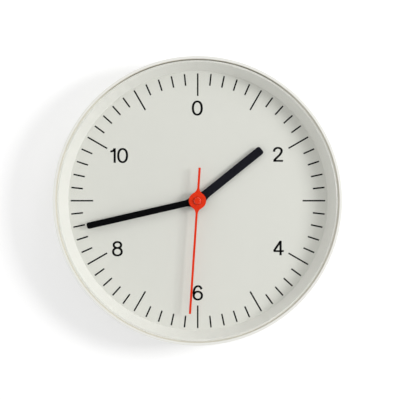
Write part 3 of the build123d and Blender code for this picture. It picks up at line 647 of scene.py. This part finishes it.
# %% Geometry trees
class Pattern(Graph):
    """A Geometry Nodes tree with named inputs."""

    def __init__(self, name, inputs):
        super().__init__(bpy.data.node_groups.new(name, "GeometryNodeTree"))
        self.tree.interface.new_socket("Geometry", in_out="OUTPUT", socket_type="NodeSocketGeometry")
        self.given_values = {}
        for label, (kind, value) in inputs.items():
            socket = self.tree.interface.new_socket(label, in_out="INPUT", socket_type=kind)
            self.given_values[socket.identifier] = value

    def given(self, label):
        return self.node("NodeGroupInput", {}, {}, label)

    def index(self):
        return self.node("GeometryNodeInputIndex", {}, {})

    def vector(self, **parts):
        return self.node("ShaderNodeCombineXYZ", {}, parts)

    def moved(self, geometry, **change):
        return self.node("GeometryNodeTransform", {}, {"Geometry": geometry, **change})

    def mesh(self, name, geometry, material):
        """Realize the instances, set the material, and turn the result into a plain mesh."""
        real = self.node("GeometryNodeRealizeInstances", {}, {0: geometry})
        dressed = self.node("GeometryNodeSetMaterial", {}, {0: real, "Material": material})
        self.node("NodeGroupOutput", {}, {0: dressed})
        carrier = bpy.data.objects.new(name + "_carrier", bpy.data.meshes.new(name + "_carrier"))
        modifier = carrier.modifiers.new("tree", "NODES")
        modifier.node_group = self.tree
        for identifier, value in self.given_values.items():
            modifier[identifier] = value
        return plain_mesh(carrier, name)


WHOLE, SIZE = "NodeSocketInt", "NodeSocketFloat"
print("inputs of a tree are", WHOLE, "or", SIZE)

# %% Print the strokes
PRINT_THICK, LONG_EVERY = 0.05, 5.0
strokes = Pattern("dial_strokes", {
    "Count": (WHOLE, 60),
    "Outer Radius": (SIZE, 117.9 * MM),
    "Short Length": (SIZE, 10.85 * MM),
    "Long Length": (SIZE, 20.9 * MM),
    "Width": (SIZE, 1.38 * MM),
    "Thickness": (SIZE, PRINT_THICK * MM),
    "Depth": (SIZE, (DIAL_FRONT + PRINT_THICK / 2) * MM),
})
number = strokes.index()
turn = number / strokes.given("Count") * math.tau
is_long = strokes.maths("COMPARE", strokes.maths("MODULO", number, LONG_EVERY), 0.0)
extra = strokes.given("Long Length") - strokes.given("Short Length")
length = strokes.given("Short Length") + is_long * extra
middle = strokes.given("Outer Radius") - length / 2.0
spot = strokes.vector(
    X=middle * strokes.maths("SINE", turn),
    Y=strokes.given("Depth") * -1.0,
    Z=middle * strokes.maths("COSINE", turn),
)
points = strokes.node("GeometryNodePoints", {}, {"Count": strokes.given("Count"), "Position": spot})
block = strokes.node("GeometryNodeMeshCube", {}, {"Size": (1.0, 1.0, 1.0)})
copies = strokes.node("GeometryNodeInstanceOnPoints", {}, {
    "Points": points,
    "Instance": block,
    "Rotation": strokes.vector(Y=turn),
    "Scale": strokes.vector(X=strokes.given("Width"), Y=strokes.given("Thickness"), Z=length),
})
piece(strokes.mesh("dial_strokes", copies, ink), "dial_strokes", "case", [ink])

# %% [markdown]
# ## The numerals
#
# Six plain numerals stand upright at the even hours. Text objects could set them, but Blender's own font
# has figures of other shapes, so these are drawn as a sign writer would: each is a few strokes along a
# centre line, a little heavier when it runs upright than when it runs level. A stroke is given a left and a
# right edge and a little thickness.

# %% Centre lines of the numerals
def oval(wide, tall, x=0.0, y=0.0, square=2.2, steps=56):
    """A closed oval, slightly squarer than an ellipse."""
    path = []
    for step in range(steps):
        turn = math.tau * step / steps
        c, s = math.cos(turn), math.sin(turn)
        path.append((
            x + wide * math.copysign(abs(c) ** (2 / square), c),
            y + tall * math.copysign(abs(s) ** (2 / square), s),
        ))
    return path


def flowing(corners, steps=8):
    """A smooth open line through the given points."""
    ends = [Vector(corners[0]) * 2 - Vector(corners[1]), Vector(corners[-1]) * 2 - Vector(corners[-2])]
    guide = [ends[0], *map(Vector, corners), ends[1]]
    path = []
    for a, b, c, d in zip(guide, guide[1:], guide[2:], guide[3:]):
        for step in range(steps):
            t = step / steps
            path.append(0.5 * (2 * b + (c - a) * t + (2 * a - 5 * b + 4 * c - d) * t ** 2
                               + (3 * b - a - 3 * c + d) * t ** 3))
    path.append(guide[-2])
    return [tuple(p) for p in path]


def shifted(strokes_of, x):
    return [([(px + x, py) for px, py in path], closed) for path, closed in strokes_of]


zero = [(oval(4.4, 6.6), True)]
two = [
    (flowing([(-4.1, 2.6), (-3.6, 4.7), (-2.2, 6.05), (-0.2, 6.5), (1.9, 6.05), (3.2, 4.8), (3.5, 3.2),
              (2.95, 1.5), (1.75, -0.35), (-0.2, -2.3), (-2.3, -4.3), (-4.1, -6.3)]), False),
    ([(-4.75, -6.5), (4.9, -6.5)], False),
]
four = [
    ([(2.05, 7.2), (2.05, -7.3)], False),
    ([(1.9, 6.6), (-4.6, -3.0)], False),
    ([(-5.0, -3.1), (5.2, -3.1)], False),
]
six = [
    (oval(4.1, 3.95, 0.0, -2.75, 2.1), True),
    (flowing([(3.7, 3.6), (2.7, 5.6), (0.9, 6.65), (-0.9, 6.5), (-2.5, 5.4), (-3.6, 3.4), (-4.1, 0.8),
              (-4.15, -1.8)]), False),
]
eight = [(oval(3.7, 3.0, 0.0, 3.75, 2.1), True), (oval(4.3, 3.75, 0.0, -3.0, 2.1), True)]
one = [
    ([(0.0, 7.3), (0.0, -7.3)], False),
    (flowing([(-4.4, 4.0), (-3.0, 4.15), (-1.6, 4.75), (-0.6, 5.9), (-0.2, 7.2)]), False),
]
ten = shifted(one, -4.35) + shifted(zero, 3.6)
numerals = {0: zero, 2: two, 4: four, 6: six, 8: eight, 10: ten}
print("strokes in each numeral", {hour: len(paths) for hour, paths in numerals.items()})

# %% Ink the numerals
NUMERAL_RADIUS, NUMERAL_SCALE, UPRIGHT, LEVEL = 85.4, 0.925, 1.12, 0.92
NUDGE = {0: (-0.4, 0.4), 2: (0.4, 0.2), 4: (0.8, -1.0), 6: (0.1, 0.1), 8: (-0.5, -1.8), 10: (1.0, -0.8)}


def slab(work, path, closed, place, half_width, low, high):
    """Add a stroke as a thin slab between two depths, its half breadth given by its direction."""
    count = len(path)
    rows = []
    for step, (px, py) in enumerate(path):
        before = path[step - 1] if closed or step else path[step]
        after = path[(step + 1) % count] if closed or step < count - 1 else path[step]
        along = (Vector(after) - Vector(before)).normalized()
        aside = Vector((-along.y, along.x)) * half_width(along)
        row = []
        for side, depth in ((1, low), (-1, low), (-1, high), (1, high)):
            spot = Vector((px, py)) + Vector(place) + aside * side
            row.append(work.verts.new((spot.x * MM, -depth * MM, spot.y * MM)))
        rows.append(row)
    for step in range(count if closed else count - 1):
        here, there = rows[step], rows[(step + 1) % count]
        for a in range(4):
            b = (a + 1) % 4
            work.faces.new((here[a], here[b], there[b], there[a]))
    if not closed:
        work.faces.new(rows[0])
        work.faces.new(rows[-1])


def brush(along):
    return NUMERAL_SCALE * (LEVEL + (UPRIGHT - LEVEL) * abs(along.y))


numeral_work = bmesh.new()
for hour, paths in numerals.items():
    turn = math.tau * hour / 12
    right, up = NUDGE[hour]
    place = (NUMERAL_RADIUS * math.sin(turn) + right, NUMERAL_RADIUS * math.cos(turn) + up)
    for path, closed in paths:
        sized = [(NUMERAL_SCALE * px, NUMERAL_SCALE * py) for px, py in path]
        slab(numeral_work, sized, closed, place, brush, DIAL_FRONT, DIAL_FRONT + PRINT_THICK)
piece(to_mesh(numeral_work, "dial_numerals"), "dial_numerals", "case", [ink])

# %% [markdown]
# ## The hands
#
# The hands are stamped from sheet and painted, so their edges are slightly rolled. They could be drawn
# again, but the nodes' outlines are exact, so merged copies keep them and get a small bevel, which catches
# a fine line of light. Each rides its own body, and turns with it.

# %% Ease the hands
for node, name, body, slot, paint, edge_break in (
    ("hour_hand", "hour_blade", "hour", "hand_dark", hour_paint, 0.16),
    ("minute_hand", "minute_blade", "minute", "hand_dark", minute_paint, 0.16),
    ("second_hand", "second_needle", "second", "hand_red", red_paint, 0.14),
):
    piece(eased(node, edge_break * MM), name, body, [paint], [node])

# %% [markdown]
# ## The back
#
# Behind is what a hand meets when the clock comes off the wall: the cover, the black movement with its
# knob, and the cell. Moulded edges are never quite sharp. The cover and the movement keep their outlines
# and get broken edges too, larger on the cover, which is the coarser moulding.

# %% Cover and movement
for node, name, body, slot, plastic, edge_break in (
    ("back_cover", "cover_moulding", "case", "case_white", case_white, 0.25),
    ("movement_housing", "housing_moulding", "case", "movement_black", movement_black, 0.12),
    ("movement_lid", "lid_moulding", "case", "movement_black", movement_black, 0.15),
    ("setting_knob", "knob_moulding", "motion", "movement_black", knob_black, 0.15),
):
    piece(eased(node, edge_break * MM), name, body, [plastic], [node])

# %% [markdown]
# The lid carries the usual moulded signs: which way up the cell goes, a two-way arrow round the setting
# knob, and the faint rings that the mould's ejector pins leave. Bump could draw them, but they would vanish
# from the side. They are raised strokes in black plastic, so only the light on their edges shows them.

# %% Strokes of the lid's signs
SIGN_REACH, CELL_SIGN_X, CELL_SIGN_Z = 2.2, 21.5, -6.8
ARROW_RADIUS, ARROW_FROM, ARROW_TO, ARROW_STEPS, BARB, BARB_LEAN = 8.6, 20, 160, 40, 1.9, 35
knob_low, knob_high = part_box("setting_knob")
knob_place = ((knob_low.x + knob_high.x) / 2 / MM, (knob_low.z + knob_high.z) / 2 / MM)


def arc(radius, start, end, steps):
    """Points on part of a circle, by angles in degrees from the right, anticlockwise."""
    turns = [math.radians(start + (end - start) * step / steps) for step in range(steps + 1)]
    return [(radius * math.cos(turn), radius * math.sin(turn)) for turn in turns]


def barbs(tip, heading):
    """The two short strokes of an arrow's head, at an angle in degrees."""
    back = [math.radians(heading + 180 + lean) for lean in (-BARB_LEAN, BARB_LEAN)]
    return [[tip, (tip[0] + BARB * math.cos(b), tip[1] + BARB * math.sin(b))] for b in back]


level_bar = [(-SIGN_REACH, 0.0), (SIGN_REACH, 0.0)]
upright_bar = [(0.0, -SIGN_REACH), (0.0, SIGN_REACH)]
plus, minus = (CELL_SIGN_X, CELL_SIGN_Z), (-CELL_SIGN_X, CELL_SIGN_Z)
sweep = arc(ARROW_RADIUS, ARROW_FROM, ARROW_TO, ARROW_STEPS)
arrow_heads = barbs(sweep[0], ARROW_FROM - 90) + barbs(sweep[-1], ARROW_TO + 90)
signs = [(level_bar, plus), (upright_bar, plus), (level_bar, minus), (sweep, knob_place)]
signs += [(stroke, knob_place) for stroke in arrow_heads]
print("strokes in the signs", len(signs))

# %% Raise the signs
SIGN_HEIGHT, SIGN_HALF_WIDTH = 0.25, 0.45
PIN_MARK_HEIGHT, PIN_MARK_HALF_WIDTH, PIN_MARK_RADIUS, PIN_MARK_STEP = 0.08, 0.12, 1.7, 15
PIN_MARKS = ((-22.0, 22.0), (22.0, 22.0), (-22.0, 3.0), (-4.0, 14.0))
lid_back = -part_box("movement_lid")[1].y / MM


def even(half_width):
    """The breadth of a stroke that is as broad in every direction."""
    return lambda along: half_width


sign_work = bmesh.new()
for stroke, place in signs:
    slab(sign_work, stroke, False, place, even(SIGN_HALF_WIDTH), lid_back, lid_back - SIGN_HEIGHT)
pin_mark = arc(PIN_MARK_RADIUS, 0, 360 - PIN_MARK_STEP, 360 // PIN_MARK_STEP - 1)
for place in PIN_MARKS:
    slab(sign_work, pin_mark, True, place, even(PIN_MARK_HALF_WIDTH), lid_back, lid_back - PIN_MARK_HEIGHT)
piece(to_mesh(sign_work, "lid_signs"), "lid_signs", "case", [knob_black])

# %% [markdown]
# ## The cover screws
#
# The same small screw holds the cover at each place on a circle, so a tree makes one and repeats it. One
# could model a single screw by hand and copy it, but in a tree the count and every size stay as named
# inputs. The screw is built upright, its head at the origin and its shank below. Its thread is a spiral
# swept by a ridge.

# %% A screw's head, shank and thread
SCREW_COUNT, SCREW_START, SCREW_CIRCLE = 3, math.radians(60), 126.6
SCREW_HEAD_RADIUS, SCREW_HEAD_BACK, SCREW_SHOULDER, SCREW_END = 1.9, 1.2, 2.5, 12.0
THREAD_PITCH = 0.8
HEAD_SIDES, SHANK_SIDES, THREAD_SIDES, RIDGE_SIDES = 40, 24, 16, 4
screws = Pattern("cover_screws", {
    "Count": (WHOLE, SCREW_COUNT),
    "Circle Radius": (SIZE, SCREW_CIRCLE * MM),
    "First Angle": (SIZE, SCREW_START),
    "Head Radius": (SIZE, SCREW_HEAD_RADIUS * MM),
    "Head Height": (SIZE, (SCREW_SHOULDER - SCREW_HEAD_BACK) * MM),
    "Shank Radius": (SIZE, 1.0 * MM),
    "Shank Length": (SIZE, (SCREW_END - SCREW_SHOULDER) * MM),
    "Thread Pitch": (SIZE, THREAD_PITCH * MM),
    "Thread Height": (SIZE, 0.13 * MM),
    "Slot Length": (SIZE, 2.3 * MM),
    "Slot Width": (SIZE, 0.45 * MM),
    "Slot Depth": (SIZE, 0.8 * MM),
})
shank_radius, shank_length = screws.given("Shank Radius"), screws.given("Shank Length")
half_head = screws.given("Head Height") / 2.0
half_shank = shank_length / 2.0
drop = (half_head + half_shank) * -1.0
head = screws.node("GeometryNodeMeshCylinder", {}, {
    "Vertices": HEAD_SIDES, "Radius": screws.given("Head Radius"), "Depth": screws.given("Head Height"),
}, "Mesh")
shank = screws.node("GeometryNodeMeshCylinder", {}, {
    "Vertices": SHANK_SIDES, "Radius": shank_radius, "Depth": shank_length,
}, "Mesh")
spiral = screws.node("GeometryNodeCurveSpiral", {}, {
    "Resolution": THREAD_SIDES, "Rotations": shank_length / screws.given("Thread Pitch"),
    "Start Radius": shank_radius, "End Radius": shank_radius, "Height": shank_length,
})
ridge = screws.node("GeometryNodeCurvePrimitiveCircle", {}, {
    "Resolution": RIDGE_SIDES, "Radius": screws.given("Thread Height"),
})
thread = screws.node("GeometryNodeCurveToMesh", {}, {
    "Curve": spiral, "Profile Curve": ridge, "Fill Caps": True,
})
shank = screws.moved(shank, Translation=screws.vector(Z=drop))
thread = screws.moved(thread, Translation=screws.vector(Z=drop - half_shank))
print("turns of thread", round((SCREW_END - SCREW_SHOULDER) / THREAD_PITCH, 1))

# %% [markdown]
# A punch stamps a cross in the head. A Boolean cuts the same two bars out of it, and the finished screw is
# then set on points round the circle, with its head towards the back.

# %% Cut the cross and set the screws
slot_size = screws.vector(
    X=screws.given("Slot Length"), Y=screws.given("Slot Width"), Z=screws.given("Slot Depth") * 2.0,
)
bar = screws.node("GeometryNodeMeshCube", {}, {"Size": slot_size})
bar = screws.moved(bar, Translation=screws.vector(Z=half_head))
cross = screws.moved(bar, Rotation=(0.0, 0.0, math.pi / 2))
cut_head = screws.node("GeometryNodeMeshBoolean", {"operation": "DIFFERENCE"}, {0: head, 1: [bar, cross]})
screw = screws.node("GeometryNodeJoinGeometry", {}, {0: [cut_head, shank, thread]})
round_by = screws.given("First Angle") + screws.index() / screws.given("Count") * math.tau
seat = screws.vector(
    X=screws.given("Circle Radius") * screws.maths("COSINE", round_by),
    Y=-(SCREW_HEAD_BACK + SCREW_SHOULDER) / 2 * MM,
    Z=screws.given("Circle Radius") * screws.maths("SINE", round_by),
)
seats = screws.node("GeometryNodePoints", {}, {"Count": screws.given("Count"), "Position": seat})
driven = screws.node("GeometryNodeInstanceOnPoints", {}, {
    "Points": seats, "Instance": screw, "Rotation": (-math.pi / 2, 0.0, 0.0),
})
screw_mesh = screws.mesh("cover_screws", driven, zinc)
print("screw faces", len(screw_mesh.polygons))

# %% [markdown]
# A formed head has a rounded crown, which Geometry Nodes has no bevel for. So the rim of each head is
# bevelled in the plain mesh, found by its depth and by its distance from the screw's own axis.

# %% Crown the heads
CROWN, CROWN_STEPS, NEAR_BACK, RIM_SHARE = 0.45 * MM, 4, 0.01, 0.97
screw_turns = [SCREW_START + math.tau * turn / SCREW_COUNT for turn in range(SCREW_COUNT)]
screw_spots = [(SCREW_CIRCLE * MM * math.cos(t), SCREW_CIRCLE * MM * math.sin(t)) for t in screw_turns]


def on_head_rim(edge):
    on_back = all(abs(v.co.y / MM + SCREW_HEAD_BACK) < NEAR_BACK for v in edge.verts)
    reach = min(math.dist((v.co.x, v.co.z), spot) for v in edge.verts for spot in screw_spots)
    return on_back and reach > RIM_SHARE * SCREW_HEAD_RADIUS * MM


screw_work = bmesh.new()
screw_work.from_mesh(screw_mesh)
bmesh.ops.remove_doubles(screw_work, verts=screw_work.verts, dist=MERGE)
broken(screw_work, [edge for edge in screw_work.edges if on_head_rim(edge)], CROWN, CROWN_STEPS)
piece(to_mesh(screw_work, "cover_screws_crowned"), "cover_screws", "case", [zinc], ["back_screws"])

# %% [markdown]
# ## The cell
#
# A round cell is drawn steel in a printed sleeve, left plain here. A cylinder with bevels would miss its
# dished base, so it is turned from a profile as the ring was: the base with its rolled edge, the sleeve,
# the shoulder and the raised positive end. The ends are bare, so the faces inside the sleeve's radius are
# nickel.

# %% Turn the cell
CELL_RADIUS, CELL_LENGTH, NUB_RADIUS, NUB_LENGTH = 7.25, 50.5, 2.75, 1.2
BODY_LENGTH = CELL_LENGTH - NUB_LENGTH
CELL_STEPS, SLEEVE_FROM = 96, 6.95 * MM
base = [(0.0, 0.35), (4.7, 0.35), (5.1, 0.0), (6.4, 0.0), (6.9, 0.15), (7.15, 0.5)]
sleeve_line = [(CELL_RADIUS, 0.55), (CELL_RADIUS, 0.9), (CELL_RADIUS, BODY_LENGTH - 0.6)]
shoulder = [
    (7.1, BODY_LENGTH - 0.2), (6.6, BODY_LENGTH), (6.1, BODY_LENGTH - 0.25), (3.2, BODY_LENGTH - 0.25),
]
nub = [
    (NUB_RADIUS, BODY_LENGTH - 0.1), (NUB_RADIUS, CELL_LENGTH - 0.3), (2.4, CELL_LENGTH), (0.0, CELL_LENGTH),
]
cell_low, cell_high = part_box("battery")
cell_middle = (cell_low + cell_high) / 2
cell_end = cell_middle - Vector((CELL_LENGTH / 2 * MM, 0, 0))
along_x = Matrix.Translation(cell_end) @ Matrix.Rotation(math.pi / 2, 4, "Z")
cell = piece(
    lathe("cell_turned", base + sleeve_line + shoulder + nub, CELL_STEPS, along_x), "battery_cell", "battery",
    [cell_film, nickel], ["battery"],
)
for face in cell.data.polygons:
    radius = math.hypot(face.center.y - cell_middle.y, face.center.z - cell_middle.z)
    face.material_index = 0 if radius > SLEEVE_FROM else 1
print("bare faces", sum(face.material_index for face in cell.data.polygons))

# %% [markdown]
# ## Finishes for the hidden work
#
# The wheels, the motor and the fixings sit inside the movement and behind the dial. Their shapes are right
# in the frame, so they are not made again and only change finish.

# %% Dress the other nodes
dress = {
    steel: ("stator", "coil_core", "clutch_spring", "quartz_crystal", "shaft_washer"),
    nickel: ("contact_negative", "contact_positive"),
    brass: ("shaft_bushing", "shaft_nut", "minute_pipe"),
    gear_plastic: ("hour_wheel", "intermediate_wheel", "minute_drive_wheel", "motion_wheel", "second_wheel",
                   "third_wheel", "rotor_pinion", "coil_bobbin"),
    movement_black: ("train_bridge",),
    rubber: ("dial_gasket",),
    magnet_dark: ("rotor_magnet",),
    winding: ("coil_winding",),
    board_brown: ("circuit_board",),
    chip_black: ("chip",),
}
for material, names in dress.items():
    for name in names:
        nodes[name].data.materials.clear()
        nodes[name].data.materials.append(material)
print("dressed", sum(len(names) for names in dress.values()))

# %% [markdown]
# ## The wall
#
# The clock hangs on a plain white wall that takes a soft shadow. A lit wall alone would be a pale grey, so
# it also glows a little, and only for rays that look at it. Its back is transparent, so that a camera
# behind it sees the back of the clock, and it blocks no light on its way to the clock.

# %% Put up the wall
WALL_HALF, WALL_GAP, WALL_GLOW, WALL_WHITE = 4.0, 0.4 * MM, 0.225, 0.90
sides = ((-1, -1), (1, -1), (1, 1), (-1, 1))
corners = [(x * WALL_HALF, WALL_GAP, z * WALL_HALF) for x, z in sides]
wall_mesh = bpy.data.meshes.new("wall")
wall_mesh.from_pydata(corners, [], [(0, 1, 2, 3)])


def looking(graph, *kinds):
    """1 for rays of the given kinds, and 0 for all others."""
    total = graph.node("ShaderNodeLightPath", {}, {}, kinds[0])
    for kind in kinds[1:]:
        total = total + graph.node("ShaderNodeLightPath", {}, {}, kind)
    return total


def glowing_wall():
    finish = Finish("wall_paint")
    paint = finish.surface({
        "Base Color": (WALL_WHITE, WALL_WHITE, WALL_WHITE, 1),
        "Roughness": 0.9,
        "Specular IOR Level": 0.0,
        "Normal": finish.lift(finish.cloud(2.5 * MM, GRAIN_DETAIL), 0.01 * MM),
    })
    seen = looking(finish, "Is Camera Ray", "Is Glossy Ray", "Is Transmission Ray")
    glow = finish.node("ShaderNodeEmission", {}, {"Color": (1, 1, 1, 1), "Strength": seen * WALL_GLOW})
    lit = finish.node("ShaderNodeAddShader", {}, {0: paint, 1: glow})
    behind = finish.node("ShaderNodeNewGeometry", {}, {}, "Backfacing")
    clear = finish.node("ShaderNodeBsdfTransparent", {}, {})
    return finish.shown(finish.node("ShaderNodeMixShader", {}, {0: behind, 1: lit, 2: clear}))


wall_mesh.materials.append(glowing_wall())
wall = bpy.data.objects.new("wall", wall_mesh)
scene.collection.objects.link(wall)
wall.visible_shadow = False
wall.visible_diffuse = False
print("wall faces the front", wall_mesh.polygons[0].normal.y < 0)

# %% [markdown]
# ## Light
#
# A wide pale surround gives most of the light. One soft lamp from the right, only a little above the clock,
# throws the hands' shadows to the left, and two weak wide fills soften the rest. A picture of a studio
# could light it too, but plain lamps are easier to aim. Polished faces see a dark room in front, where the
# camera stands, and a pale one elsewhere. A lamp behind the wall is there for views of the back.

# %% The surround
SURROUND, DARK_ROOM, ROOM_EDGE, ROOM_END = 0.64, 0.03, -0.75, -0.45
world = bpy.data.worlds.new("surround")
scene.world = world
world.use_nodes = True
sky = Graph(world.node_tree)
camera_ray = looking(sky, "Is Camera Ray")
mirror_ray = looking(sky, "Is Glossy Ray", "Is Transmission Ray")
direction = sky.node("ShaderNodeTexCoord", {}, {}, "Generated")
towards_wall = sky.node("ShaderNodeSeparateXYZ", {}, {0: direction}, "Y")
mirrored = sky.ramp(towards_wall, ROOM_EDGE, ROOM_END, DARK_ROOM, 1.0)
soft = (1 - mirror_ray) * SURROUND + mirror_ray * mirrored
strength = camera_ray + (1 - camera_ray) * soft
backing = sky.node("ShaderNodeBackground", {}, {"Color": (1, 1, 1, 1), "Strength": strength})
sky.node("ShaderNodeOutputWorld", {}, {"Surface": backing})
print("surround", SURROUND)


# %% The lamps
def lamp(name, towards, distance, side_x, side_y, level):
    """A soft lamp whose level is the share of a white card's brightness it gives when it is square on."""
    data = bpy.data.lights.new(name, "AREA")
    data.shape = "RECTANGLE"
    data.size, data.size_y = side_x, side_y
    data.energy = level * math.pi ** 2 * distance ** 2
    made = bpy.data.objects.new(name, data)
    made.location = Vector(towards).normalized() * distance
    made.rotation_euler = Vector(towards).to_track_quat("Z", "Y").to_euler()
    made.visible_camera = False
    scene.collection.objects.link(made)
    print(name, "watts", round(data.energy, 2))


lamp("key", (0.780, -0.60, 0.105), distance=2.1, side_x=0.66, side_y=0.55, level=0.475)
lamp("left_fill", (-0.75, -0.62, 0.10), distance=2.6, side_x=1.2, side_y=1.2, level=0.04)
lamp("high_fill", (0.40, -0.60, 0.69), distance=2.6, side_x=1.2, side_y=1.2, level=0.10)
lamp("back_key", (-0.5, 0.8, 0.6), distance=2.6, side_x=0.9, side_y=0.9, level=0.30)

# %% [markdown]
# ## Camera
#
# The photograph looks almost straight at the dial, from a little to the right, with a long lens. The
# picture is square, and one of its pixels covers a little less than a millimetre of the rim. The focal
# length follows from that scale and the distance, which is easier to match than an angle of view.

# %% Set the camera
CAMERA_DISTANCE, RIGHT = 1.6, math.radians(1.3)
PIXELS, PIXEL, SENSOR = 400, 0.9145 * MM, 36.0
AIM_RIGHT, AIM_UP = 2.8, 0.75
aim = Vector((AIM_RIGHT * PIXEL, -RIM_FRONT * MM, AIM_UP * PIXEL))
away = Vector((math.sin(RIGHT), -math.cos(RIGHT), 0.0))
camera_data = bpy.data.cameras.new("camera")
camera_data.sensor_width = SENSOR
camera_data.lens = SENSOR * CAMERA_DISTANCE / (PIXELS * PIXEL)
camera = bpy.data.objects.new("camera", camera_data)
camera.location = aim + away * CAMERA_DISTANCE
camera.rotation_euler = away.to_track_quat("Z", "Y").to_euler()
scene.collection.objects.link(camera)
scene.camera = camera
print("focal length in mm", round(camera_data.lens, 1))

# %% [markdown]
# ## Size
#
# The dressed clock has to stay in the box of the bare solids.
